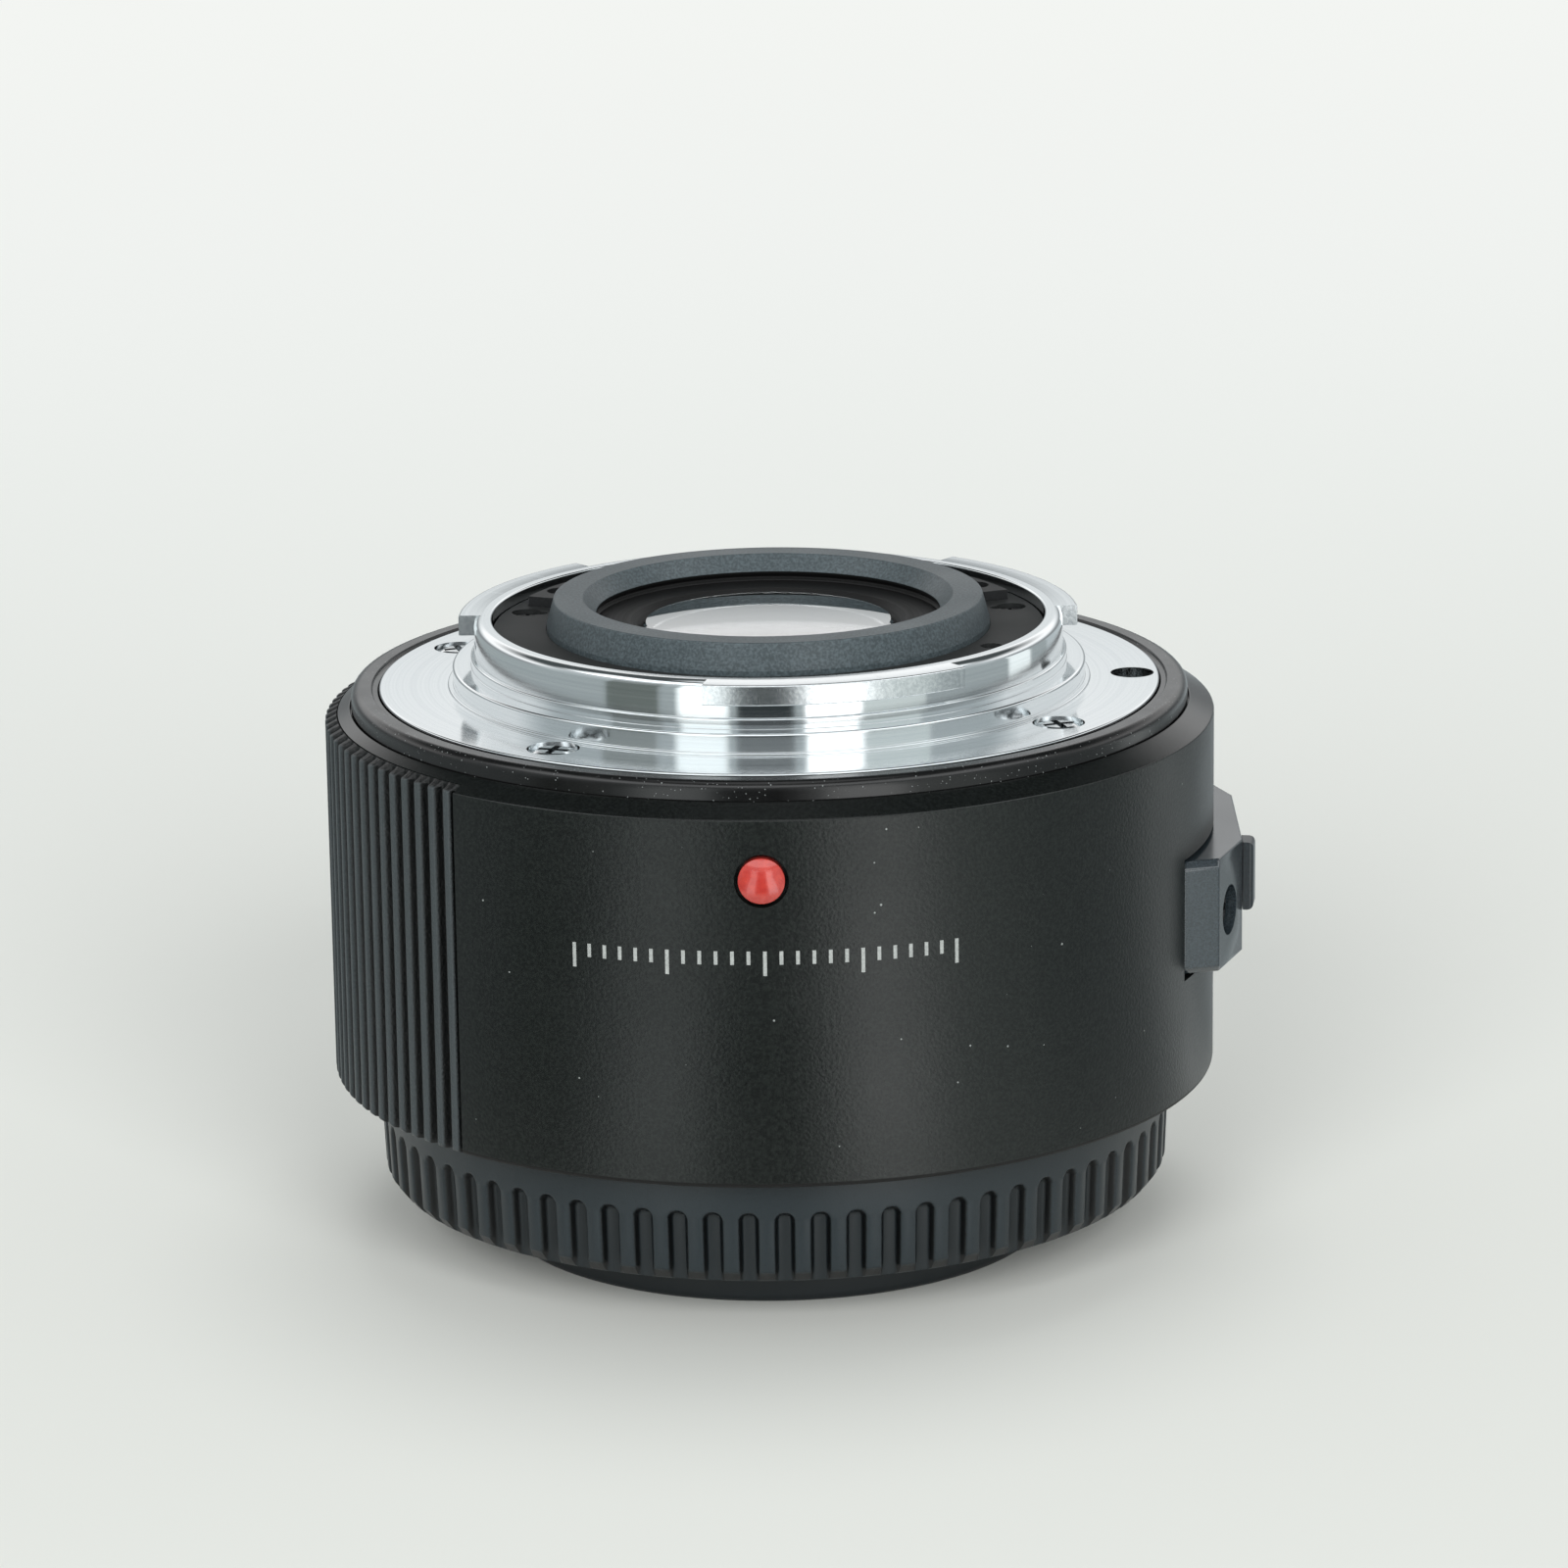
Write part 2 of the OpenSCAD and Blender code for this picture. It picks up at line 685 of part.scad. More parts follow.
// Grip band: a ribbed outline, cut back to the bevel of the barrel
module grip_band() {
    pitch = grip_span / grip_ribs;
    half = pitch * rib_share / 2;
    soft = half * 0.35;
    floor_r = barrel_r - rib_h;
    over_r = barrel_r + 0.05;
    start = grip_end_az - grip_span;
    outline = [for (i = [0 : grip_ribs - 1], p = [
            [-half - soft * 0.6, floor_r], [-half, barrel_r - rib_h * 0.2], [-half + soft, barrel_r],
            [half - soft, barrel_r], [half, barrel_r - rib_h * 0.2], [half + soft * 0.6, floor_r]])
        let (az = start + pitch * (i + 0.5) + p[0]) [p[1] * sin(az), -p[1] * cos(az)]];
    color("#202325")
        intersection() {
            difference() {
                translate([0, 0, lens_z])
                    linear_extrude(camera_z - lens_z)
                        polygon(concat(
                            [[floor_r * sin(start + 0.1), -floor_r * cos(start + 0.1)]], outline,
                            [[floor_r * sin(grip_end_az - 0.1), -floor_r * cos(grip_end_az - 0.1)],
                                [0, 0]]));
                rod(grip_in_r + lay_gap, lens_z - 1, camera_z + 1);
            }
            rotate_extrude()
                polygon([[grip_in_r - 2, lens_z], [barrel_r - 0.5, lens_z], [over_r, lens_z + 0.55],
                    [over_r, barrel_edge_z - (over_r - barrel_r) * bevel_h / bevel_w],
                    [barrel_r - bevel_w, barrel_edge_z + bevel_h],
                    [grip_in_r - 2, barrel_edge_z + bevel_h]]);
        }
}

module rear_seal() {
    crest_z = camera_z - 0.03;
    roll_z = seat_z + seal_foot_h;
    inner_lip = 0.55;
    roll_r = seal_out_r - seal_in_r - inner_lip - 0.25;
    color("#141515")
        rotate_extrude()
            polygon(concat(
                [[seal_in_r, seat_z], [seal_out_r, seat_z]],
                arc(seal_out_r - roll_r, roll_z, roll_r, crest_z - roll_z, 0, 90, 8),
                [[seal_in_r + inner_lip, crest_z - 0.02], [seal_in_r + inner_lip - 0.1, crest_z - 0.25],
                    [seal_in_r, crest_z - 0.25]]));
}

module rear_mount() {
    lug_z = camera_z + lug_reach;
    collar_top = camera_z + register_h;
    color("#d9dcdf")
        difference() {
            union() {
                rotate_extrude()
                    polygon([[throat_r, shim_top_z], [spigot_r, shim_top_z], [spigot_r, seat_z],
                        [flange_r, seat_z], [flange_r, camera_z - 0.15], [flange_r - 0.15, camera_z],
                        [register_r, camera_z], [register_r, camera_z + 0.62],
                        [register_r - 0.12, camera_z + 0.7], [register_r, camera_z + 0.78],
                        [register_r, collar_top - 0.3], [register_r - 0.3, collar_top],
                        [neck_r + 0.55, collar_top], [neck_r + 0.45, collar_top - 0.12],
                        [neck_r + 0.2, collar_top - 0.12], [neck_r + 0.1, collar_top + 0.1],
                        [neck_r, collar_top + 0.2], [neck_r, ring_top_z - 0.75],
                        [neck_r - 0.5, ring_top_z], [throat_r + 0.15, ring_top_z],
                        [throat_r, ring_top_z - 0.15]]);
                for (start = lug_starts)
                    at_az(start)
                        rotate_extrude(angle = lug_span)
                            polygon([[throat_r + 0.5, lug_z], [lug_r, lug_z],
                                [lug_r, lug_z + lug_t - 0.05], [lug_r - 0.4, ring_top_z - 0.06],
                                [throat_r + 0.5, ring_top_z - 0.06]]);
            }
            for (az = rear_screw_az)
                at_az(az)
                    translate([rear_screw_ring, 0, camera_z])
                        screw_room(mount_head_r + head_gap, mount_head_h + head_sink,
                            mount_shank_r + lay_gap, flange_t);
            at_az(lock_az)
                translate([lock_ring, 0, 0])
                    rod(lock_hole_d / 2, seat_z - 1, camera_z + 1);
        }
}

module rear_mount_screws() {
    color("#c9ccd0")
        for (az = rear_screw_az)
            at_az(az)
                translate([rear_screw_ring, 0, camera_z - head_sink])
                    cross_screw(mount_head_r, mount_head_h, mount_shank_r, mount_shank_l - 0.4);
}

module mount_shim() {
    color("#b08d4a")
        ring(throat_r + 0.2, spigot_r, shim_top_z - shim_t, shim_top_z);
}

module rear_plate() {
    color("#2b2d2d")
        difference() {
            ring(tube_seat_r, throat_r - lay_gap, plate_z, plate_top_z);
            sector(tube_seat_r - 1, rear_block_out_r + lay_gap, plate_z - 1, plate_top_z + 1,
                rear_block_az0 - 0.4, 360.4 - rear_block_az0);
            for (az = rear_plate_screw_az)
                at_az(az) {
                    translate([plate_screw_ring, 0, plate_top_z])
                        screw_room(small_head_r + head_gap, small_head_h + 0.3,
                            small_shank_r + lay_gap, plate_t);
                    translate([plate_screw_ring - 1.35, 0, plate_top_z])
                        rod(0.5, -0.6, 1);
                }
            at_az(64)
                translate([plate_screw_ring - 0.8, 0, plate_top_z])
                    rod(0.9, -plate_t - 1, 1);
        }
}

module rear_plate_screws() {
    color("#1d1e1f")
        for (az = rear_plate_screw_az)
            at_az(az)
                translate([plate_screw_ring, 0, plate_top_z - 0.3])
                    cross_screw(small_head_r, small_head_h, small_shank_r, small_shank_l);
}

function pad_az(i) = contact_az + contact_pitch * (i - (contacts - 1) / 2);

module pad_shape(grow) {
    for (i = [0 : contacts - 1])
        at_az(pad_az(i))
            translate([pad_ring - pad_l / 2 - grow, -pad_w / 2 - grow, rear_block_top_z + pad_proud - pad_h])
                cube([pad_l + 2 * grow, pad_w + 2 * grow, pad_h + (grow > 0 ? 1 : 0)]);
}

function block_screw_az() = [rear_block_az0 + 8, 352 - rear_block_az0];

module rear_contact_block() {
    color("#1e1f20")
        difference() {
            sector(rear_block_in_r, rear_block_out_r, plate_z, rear_block_top_z,
                rear_block_az0, 360 - rear_block_az0);
            pad_shape(0.02);
            for (az = block_screw_az())
                at_az(az)
                    translate([pad_ring, 0, rear_block_top_z])
                        screw_room(small_head_r + head_gap, small_head_h + 0.3,
                            small_shank_r + lay_gap, rear_block_hole_l);
        }
}

module rear_contact_pads() {
    color("#d2a94e")
        pad_shape(0);
}

module contact_block_screws() {
    color("#2a2b2c")
        for (az = block_screw_az())
            at_az(az)
                translate([pad_ring, 0, rear_block_top_z - 0.3])
                    cross_screw(small_head_r, small_head_h, small_shank_r, small_shank_l + 0.6);
}

// Tube with a conical outside, a funnel-shaped mouth and baffle threads in its bore
module rear_tube() {
    top_r = tube_top_r;
    bore = tube_bore_r;
    mouth_r = top_r - 2.42;
    thread = 0.3;
    rise = (tube_top_z - 1.4 - tube_floor_z) / 8;
    threads = [for (i = [7 : -1 : 1], p = [[0, 0.5], [thread, 0.25], [0, 0]])
        [bore + p[0], tube_floor_z + rise * (i + p[1])]];
    color("#26292a")
        rotate_extrude()
            polygon(concat(
                [[bore, tube_floor_z], [tube_foot_r, tube_floor_z], [tube_foot_r, plate_top_z + 0.4],
                    [top_r, tube_top_z - 0.12], [top_r - 0.12, tube_top_z],
                    [mouth_r + 0.08, tube_top_z], [mouth_r, tube_top_z - 0.08],
                    [bore, tube_top_z - 1.3]],
                threads));
}

module lens_barrel() {
    front_r = front_bore_r;
    rear_r = rear_bore_r;
    flange_top = cell_flange_z + cell_flange_t;
    board_top = board_z + board_t;
    color("#232526")
        difference() {
            rotate_extrude()
                polygon([[front_r, cell_front_z], [cell_r, cell_front_z], [cell_r, board_top],
                    [board_collar_r, board_top], [board_collar_r, board_top + board_collar_t],
                    [cell_r, board_top + board_collar_t], [cell_r, cell_flange_z],
                    [spigot_r, cell_flange_z], [spigot_r, flange_top], [cell_neck_r, flange_top],
                    [cell_neck_r, plate_z], [tube_seat_r, plate_z], [tube_seat_r, tube_floor_z],
                    [cell_top_r, tube_floor_z], [cell_top_r, cell_top_z], [rear_r, cell_top_z],
                    [rear_r, rear_stop_z], [stop_r, rear_stop_z], [stop_r, front_stop_z],
                    [front_r, front_stop_z]]);
            at_az(contact_az)
                translate([flex_x - flex_t, -flex_w / 2 - 0.3, board_top - 1])
                    cube([spigot_r - flex_x + 2, flex_w + 0.6, plate_z - board_top + 2]);
            for (az = rear_plate_screw_az)
                at_az(az)
                    translate([plate_screw_ring, 0, 0])
                        rod(small_shank_r, plate_z - 3, plate_z + 1);
            for (az = block_screw_az())
                at_az(az)
                    translate([pad_ring, 0, 0])
                        rod(small_shank_r, plate_z - 3, plate_z + 1);
            for (az = baffle_screw_az())
                at_az(az)
                    translate([baffle_screw_ring(), 0, 0])
                        rod(small_shank_r, cell_front_z - 1, cell_front_z + 3);
            for (az = board_screw_az())
                at_az(az)
                    translate([board_screw_ring, 0, 0])
                        rod(small_shank_r, board_top - 1, board_top + board_collar_t + 1);
        }
}

// Height of a spherical face at x, where b is its bulge over a rim of radius r
function bulge(x, r, b) =
    let (ball = (r * r + b * b) / (2 * abs(b)))
        sign(b) * (sqrt(ball * ball - x * x) - ball + abs(b));

// A lens: an edge of thickness t from z0 up, faces that bulge out or, below zero, curve in
module glass(r, z0, t, low, high, low_rim, high_rim) {
    steps = 14;
    low_r = r - low_rim;
    high_r = r - high_rim;
    lower = [for (i = [0 : steps])
        let (x = low_r * i / steps)
            [x, z0 - bulge(x, low_r, low)]];
    upper = [for (i = [steps : -1 : 0])
        let (x = high_r * i / steps)
            [x, z0 + t + bulge(x, high_r, high)]];
    low_edge = low_rim > 0 ? [[r, z0]] : [];
    high_edge = high_rim > 0 ? [[r, z0 + t]] : [];
    color("#cfdde2", 0.5)
        rotate_extrude()
            polygon(concat(lower, low_edge, high_edge, upper));
}

module front_lens() {
    glass(front_glass_r, front_lens_z, front_lens_edge, 1, 0.7, seat_rim, seat_rim);
}

module front_doublet_a() {
    glass(front_glass_r, front_a_z, doublet_a_edge, -1.1, -front_dip, seat_rim, 0);
}

module front_doublet_b() {
    glass(front_glass_r, front_b_z + cement_gap, doublet_b_edge - cement_gap, front_dip, -0.8,
        0, front_glass_r - stop_r);
}

module middle_doublet_a() {
    glass(rear_glass_r, middle_a_z, middle_a_edge, -0.8, -middle_dip, rear_glass_r - stop_r, 0);
}

module middle_doublet_b() {
    glass(rear_glass_r, middle_b_z + cement_gap, middle_b_edge - cement_gap, middle_dip, -0.6,
        0, seat_rim);
}

module field_lens() {
    glass(rear_glass_r, field_z, field_edge, 0.6, -0.5, seat_rim, seat_rim);
}

module rear_lens() {
    glass(rear_glass_r, rear_lens_z, rear_lens_edge, 0.6, rear_bulge, seat_rim, rear_rim);
}

module front_retainer() {
    color("#202122")
        rotate_extrude()
            polygon([[front_glass_r, front_lens_z - retainer_h], [front_glass_r, front_lens_z],
                [front_glass_r - 1.1, front_lens_z], [front_glass_r - 2.2, front_lens_z - 0.9],
                [front_glass_r - 0.9, front_lens_z - retainer_h]]);
}

module front_spacer() {
    color("#202122")
        ring(front_glass_r - spacer_wall, front_glass_r, front_spacer_z, front_a_z);
}

module rear_spacer_a() {
    color("#202122")
        ring(rear_glass_r - spacer_wall, rear_glass_r, spacer_a_z, field_z);
}

module rear_spacer_b() {
    color("#202122")
        ring(rear_glass_r - spacer_wall, rear_glass_r, spacer_b_z, rear_lens_z);
}

// Threaded ring with a funnel face, laid on the edge of the rear glass
module rear_retainer() {
    z0 = rear_lens_z + rear_lens_edge;
    glass_lip_r = rear_glass_r - rear_rim + 0.02;
    color("#1a1b1c")
        rotate_extrude()
            polygon([[glass_lip_r, z0], [rear_glass_r, z0], [rear_glass_r, cell_top_z + 0.05],
                [cell_top_r, cell_top_z + 0.05], [cell_top_r, cell_top_z + 0.45],
                [rear_glass_r, cell_top_z + 0.45], [glass_lip_r, z0 + 0.45]]);
}

module index_bead() {
    dome = 0.75;
    bead_r = bead_d / 2;
    ball = (bead_r * bead_r + dome * dome) / (2 * dome);
    color("#d8281f")
        at_bead()
            intersection() {
                rod(bead_r, -1.1, dome - 0.1);
                translate([0, 0, dome - 0.1 - ball])
                    sphere(ball);
            }
}

// The bead's place on the barrel, with the local Z axis pointing outwards
module at_bead() {
    at_az(bead_az)
        translate([barrel_r, 0, camera_z - bead_drop])
            rotate([0, 90, 0])
                children();
}

module bead_room() {
    at_bead()
        rod(bead_d / 2 + 0.3, -1.1, 2);
}

module claw_ring(z0, z1, r_in, r_out, lead, tail) {
    for (start = lug_starts)
        sector(r_in, r_out, z0, z1, start + lead, start + lug_span + tail);
}

module front_mount() {
    claw_z = lens_z + register_h + 0.22;
    color("#d3d6d9")
        difference() {
            union() {
                rotate_extrude()
                    polygon([[register_r + run_gap, lens_z + 0.2], [register_r + run_gap + 0.2, lens_z],
                        [flange_r - 0.2, lens_z], [flange_r, lens_z + 0.2], [flange_r, front_seat_z],
                        [register_r + run_gap, front_seat_z]]);
                claw_ring(claw_z, front_seat_z - claw_drop, claw_r, register_r + 0.5, claw_lead, 5);
                at_az(lug_starts[2] + lug_span + stop_az - 1)
                    translate([claw_r + 0.62, 0, 0])
                        rod(0.55, front_seat_z - 0.5, front_seat_z + lug_t);
            }
            claw_ring(front_seat_z - 0.3, front_seat_z + 1, claw_r + 0.55, lug_room_r + 1.7,
                claw_lead + 2, -4);
            for (az = front_screw_az)
                at_az(az)
                    translate([front_screw_ring, 0, lens_z])
                        rotate([180, 0, 0])
                            screw_room(mount_head_r + head_gap, mount_head_h + head_sink,
                                mount_shank_r + lay_gap, 4);
            at_az(lock_az)
                translate([lock_ring, 0, 0])
                    rod(pin_r + run_gap, lens_z - 1, front_seat_z + 1);
            index_dot_room(0.02);
        }
}

module front_mount_screws() {
    color("#c9ccd0")
        for (az = front_screw_az)
            at_az(az)
                translate([front_screw_ring, 0, lens_z + head_sink])
                    rotate([180, 0, 0])
                        cross_screw(mount_head_r, mount_head_h, mount_shank_r, mount_shank_l + 1.2);
}

module bayonet_springs() {
    color("#b4b7ba")
        claw_ring(front_seat_z - leaf_gap - leaf_t, front_seat_z - leaf_gap, claw_r + leaf_in,
            lug_room_r + leaf_out, claw_lead + leaf_start, -leaf_short);
}

module index_dot_room(grow) {
    at_az(bead_az - twist)
        translate([front_screw_ring, 0, 0])
            rod(1.1 + grow, lens_z - (grow > 0 ? 1 : 0), lens_z + 0.6 + grow);
}

module lens_index_dot() {
    color("#d8281f")
        index_dot_room(0);
}

function baffle_screw_az() = [0, 115, 245];
function baffle_screw_ring() = (front_bore_r + cell_r) / 2;

module front_baffle() {
    color("#1f2021")
        difference() {
            ring(front_bore_r + 0.1, lug_room_r - lay_gap, baffle_z, cell_front_z);
            sector(block_in_r - lay_gap, front_block_r + lay_gap, baffle_z - 1, cell_front_z + 1,
                contact_az - front_block_span - 0.4, contact_az + front_block_span + 0.4);
            for (az = baffle_screw_az())
                at_az(az)
                    translate([baffle_screw_ring(), 0, baffle_z])
                        rotate([180, 0, 0])
                            screw_room(small_head_r + head_gap, small_head_h, small_shank_r + lay_gap, 3);
        }
}

module baffle_screws() {
    color("#2a2b2c")
        for (az = baffle_screw_az())
            at_az(az)
                translate([baffle_screw_ring(), 0, baffle_z])
                    rotate([180, 0, 0])
                        cross_screw(small_head_r, small_head_h, small_shank_r, small_shank_l + 0.6);
}

module each_contact() {
    for (i = [0 : contacts - 1])
        at_az(pad_az(i))
            translate([contact_ring, 0, 0])
                children();
}

module front_contact_block() {
    az0 = contact_az - front_block_span;
    az1 = contact_az + front_block_span;
    color("#1b1c1d")
        difference() {
            union() {
                sector(block_in_r, front_block_r, block_low_z, chamber_top_z, az0, az1);
                sector(block_in_r, front_block_r + 1.4, cell_front_z, cell_front_z + 1.1,
                    az0 - front_block_ear, az1 + front_block_ear);
            }
            each_contact() {
                rod(contact_d / 2 + run_gap, baffle_z - 2, pin_guide_z + eps);
                rod(chamber_r, pin_guide_z, chamber_top_z + 1);
            }
        }
}

module contact_pins() {
    pin = contact_d / 2;
    base = pin_guide_z + 0.03;
    color("#d2a94e")
        each_contact() {
            rotate_extrude()
                polygon([[0, pin_tip_z + pin], [pin, pin_tip_z + pin], [pin, base],
                    [chamber_r - 0.1, base], [chamber_r - 0.1, base + pin_collar_h],
                    [pin_tail_r, base + pin_collar_h], [pin_tail_r, base + pin_collar_h + pin_tail_h],
                    [0, base + pin_collar_h + pin_tail_h]]);
            translate([0, 0, pin_tip_z + pin])
                sphere(pin);
        }
}

module contact_springs() {
    mean = (chamber_r - 0.1 + pin_tail_r) / 2 + 0.02;
    color("#a9acb0")
        each_contact()
            coil(mean, coil_wire_r, pin_guide_z + 0.03 + pin_collar_h + 0.02, chamber_top_z - 0.02, 3.5, 6, 4);
}

module front_flex() {
    az0 = contact_az - front_block_span + 1;
    az1 = contact_az + front_block_span - 1;
    edge = front_block_r - 0.2;
    color("#b5762c") {
        sector(block_in_r + 0.1, edge + flex_t, chamber_top_z, chamber_top_z + flex_t, az0, az1);
        at_az(contact_az)
            translate([edge - flex_t - 0.4, -flex_w / 2, chamber_top_z])
                cube([flex_t, flex_w, board_z - chamber_top_z]);
    }
}

function board_screw_az() = [30, 150 - 12, 270];

module circuit_board() {
    color("#1d5a36")
        difference() {
            ring(cell_r + lay_gap, board_r, board_z, board_z + board_t);
            for (az = board_screw_az())
                at_az(az)
                    translate([board_screw_ring, 0, 0])
                        rod(small_shank_r + lay_gap, board_z - 1, board_z + board_t + 1);
        }
}

module control_chip() {
    chip = 4.6;
    color("#18191a")
        at_az(215)
            translate([(cell_r + board_r) / 2 - chip / 2 + 0.1, -chip / 2, board_z - 0.9])
                cube([chip, chip, 0.9]);
}

module board_screws() {
    color("#8f9295")
        for (az = board_screw_az())
            at_az(az)
                translate([board_screw_ring, 0, board_z - small_head_h])
                    rotate([180, 0, 0])
                        cross_screw(small_head_r, small_head_h, small_shank_r, small_shank_l);
}

module rear_flex() {
    color("#b5762c")
        at_az(contact_az)
            translate([flex_x, -flex_w / 2, board_z + board_t])
                cube([flex_t, flex_w, plate_z - board_z - board_t]);
}

// Cap: a cup with a bayonet collar, a slotted outer edge and a foot below
module front_cap() {
    rim_r = flange_r + cap_lip;
    low_r = rim_r - cap_taper;
    rim_z = cap_foot_h + cap_edge_h;
    web_z = cap_foot_h + 0.6;
    skirt_r = low_r - slot_depth - 1;
    pin_room_r = lock_ring + pin_r + move_gap;
    neck = neck_r - 0.2;
    cup_r = neck - 1.6;
    foot_r = cup_r + 0.6;
    shelf_z = web_z + cap_wall;
    lug_z = front_seat_z + move_gap;
    lug_top = lug_z + lug_t - 0.1;
    color("#1d2024")
        difference() {
            union() {
                rotate_extrude()
                    polygon([[0, 0], [foot_r - 0.5, 0], [foot_r, 0.5], [foot_r, web_z],
                        [skirt_r, web_z], [skirt_r, cap_foot_h + 0.3], [skirt_r + 0.3, cap_foot_h],
                        [low_r - 0.35, cap_foot_h], [low_r, cap_foot_h + 0.35], [rim_r, rim_z - 0.2],
                        [rim_r - 0.2, rim_z], [pin_room_r, rim_z],
                        [pin_room_r, lens_z - pin_reach - 0.7], [skirt_r, lens_z - pin_reach - 0.7],
                        [skirt_r, shelf_z], [neck, shelf_z], [neck, lug_top], [cup_r, lug_top],
                        [cup_r, shelf_z], [foot_r - cap_wall, shelf_z], [foot_r - cap_wall, cap_wall],
                        [0, cap_wall]]);
                for (start = lug_starts)
                    at_az(start)
                        rotate_extrude(angle = lug_span)
                            polygon([[cup_r + 0.5, lug_z], [lug_r - 0.15, lug_z],
                                [lug_r - 0.15, lug_top - 0.35], [lug_r - 0.45, lug_top - 0.05],
                                [cup_r + 0.5, lug_top - 0.05]]);
            }
            for (i = [0 : cap_slots - 1])
                at_az(1.07 + 360 / cap_slots * i) {
                    translate([low_r - slot_depth, -slot_w / 2, cap_foot_h - 1])
                        cube([3, slot_w, slot_l + 1 - slot_w / 2]);
                    translate([low_r - slot_depth, 0, cap_foot_h + slot_l - slot_w / 2])
                        rotate([0, 90, 0])
                            cylinder(r = slot_w / 2, h = 3);
                }
        }
}

outer_barrel();
grip_band();
rear_seal();
rear_mount();
rear_mount_screws();
mount_shim();
rear_plate();
rear_plate_screws();
rear_contact_block();
rear_contact_pads();
contact_block_screws();
rear_tube();
lens_barrel();
front_retainer();
front_lens();
front_spacer();
front_doublet_a();
front_doublet_b();
middle_doublet_a();
middle_doublet_b();
rear_spacer_a();
field_lens();
rear_spacer_b();
rear_lens();
rear_retainer();
index_bead();
release_housing();
release_screws();
release_tab();
cam_plate();
lock_pin();
lock_spring();
spring_bracket();
bracket_screw();
front_mount();
front_mount_screws();
bayonet_springs();
lens_index_dot();
front_baffle();
baffle_screws();
front_contact_block();
contact_pins();
contact_springs();
front_flex();
circuit_board();
control_chip();
board_screws();
rear_flex();
front_cap();
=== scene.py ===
import json
import math

import bpy
import numpy as np
from mathutils import Matrix, Vector


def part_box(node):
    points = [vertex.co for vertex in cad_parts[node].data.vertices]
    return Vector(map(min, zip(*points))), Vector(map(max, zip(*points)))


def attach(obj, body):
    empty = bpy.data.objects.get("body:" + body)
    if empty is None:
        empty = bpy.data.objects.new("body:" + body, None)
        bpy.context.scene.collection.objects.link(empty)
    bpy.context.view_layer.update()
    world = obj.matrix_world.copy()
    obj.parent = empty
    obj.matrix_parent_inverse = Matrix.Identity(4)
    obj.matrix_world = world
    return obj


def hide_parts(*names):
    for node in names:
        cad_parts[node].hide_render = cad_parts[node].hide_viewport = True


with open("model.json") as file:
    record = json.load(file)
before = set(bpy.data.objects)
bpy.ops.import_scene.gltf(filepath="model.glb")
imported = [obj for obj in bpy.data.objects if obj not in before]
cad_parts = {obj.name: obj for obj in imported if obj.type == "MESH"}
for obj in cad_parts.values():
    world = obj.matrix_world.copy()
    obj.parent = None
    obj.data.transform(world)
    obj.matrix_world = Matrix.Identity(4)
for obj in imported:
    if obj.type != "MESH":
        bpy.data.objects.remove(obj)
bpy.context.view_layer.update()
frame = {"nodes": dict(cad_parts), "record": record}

# Camera teleconverter standing on its dust cap. Lengths below are in mm, angles in degrees.
# az is counted from -Y, the index bead's side, towards +X, the release side.
mm = 0.001
crispAngle = 38  # edges above this stay crisp unless a piece says otherwise


def heights(node):  # lowest and highest z of a CAD node, in mm
    low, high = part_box(node)
    return low.z / mm, high.z / mm


def reach(node):  # largest distance of a CAD node from the optical axis, in mm
    mesh = frame["nodes"][node].data
    points = np.empty(len(mesh.vertices) * 3, np.float32)
    mesh.vertices.foreach_get("co", points)
    points = points.reshape(-1, 3)
    return float(np.hypot(points[:, 0], points[:, 1]).max()) / mm


# What every piece is measured from
boxInset = 0.002  # keeps the barrel inside the CAD box
ringH = 5.52  # bayonet ring above its flange
flangeH = 2.0
barrelR = reach("outer_barrel") - boxInset
lensZ, edgeZ = heights("outer_barrel")
flangeR = reach("rear_mount")
ringTop = heights("rear_mount")[1]
flangeZ = ringTop - ringH
seatZ = flangeZ - flangeH
print("frame loaded: barrel radius", round(barrelR, 3), "flange at", round(flangeZ, 3))


# Surfaces

def roundedLine(corners, steps=5, closed=True):
    # A run of straight lines whose corner (r, z, fillet) is replaced by an arc that touches both lines.
    # One more point stands a little before and after each arc, so that flats shade flat
    mostRun, leadIn = 0.45, 0.02  # the longest run of an arc and its lead, as shares of the shorter line
    points = np.array([corner[:2] for corner in corners], float)
    fillets = [corner[2] if len(corner) > 2 else 0.0 for corner in corners]
    line = []
    for i, (corner, fillet) in enumerate(zip(points, fillets)):
        atEnd = not closed and i in (0, len(points) - 1)
        if fillet <= 0 or atEnd:
            line.append(corner[None])
            continue
        before = points[i - 1] - corner
        after = points[(i + 1) % len(points)] - corner
        lengths = np.linalg.norm(before), np.linalg.norm(after)
        before, after = before / lengths[0], after / lengths[1]
        half = math.acos(np.clip(before @ after, -1, 1)) / 2
        run = min(fillet / math.tan(half), mostRun * min(lengths))
        radius = run * math.tan(half)
        middle = (before + after) / np.linalg.norm(before + after)
        centre = corner + middle * (radius / math.sin(half))
        first = corner + before * run - centre
        last = corner + after * run - centre
        sweep = math.pi - 2 * half
        share = np.linspace(0, 1, steps + 1)[:, None]
        arc = (np.sin((1 - share) * sweep) * first + np.sin(share * sweep) * last) / math.sin(sweep)
        lead = min(run / 3, leadIn * min(lengths) + leadIn)
        line.append((corner + before * (run + lead))[None])
        line.append(centre + arc)
        line.append((corner + after * (run + lead))[None])
    return np.concatenate(line)


def polar(az, r, z):  # points at angle az, radius r and height z, in mm
    turn = np.radians(az)
    return np.stack(np.broadcast_arrays(r * np.sin(turn), -r * np.cos(turn), z), -1)


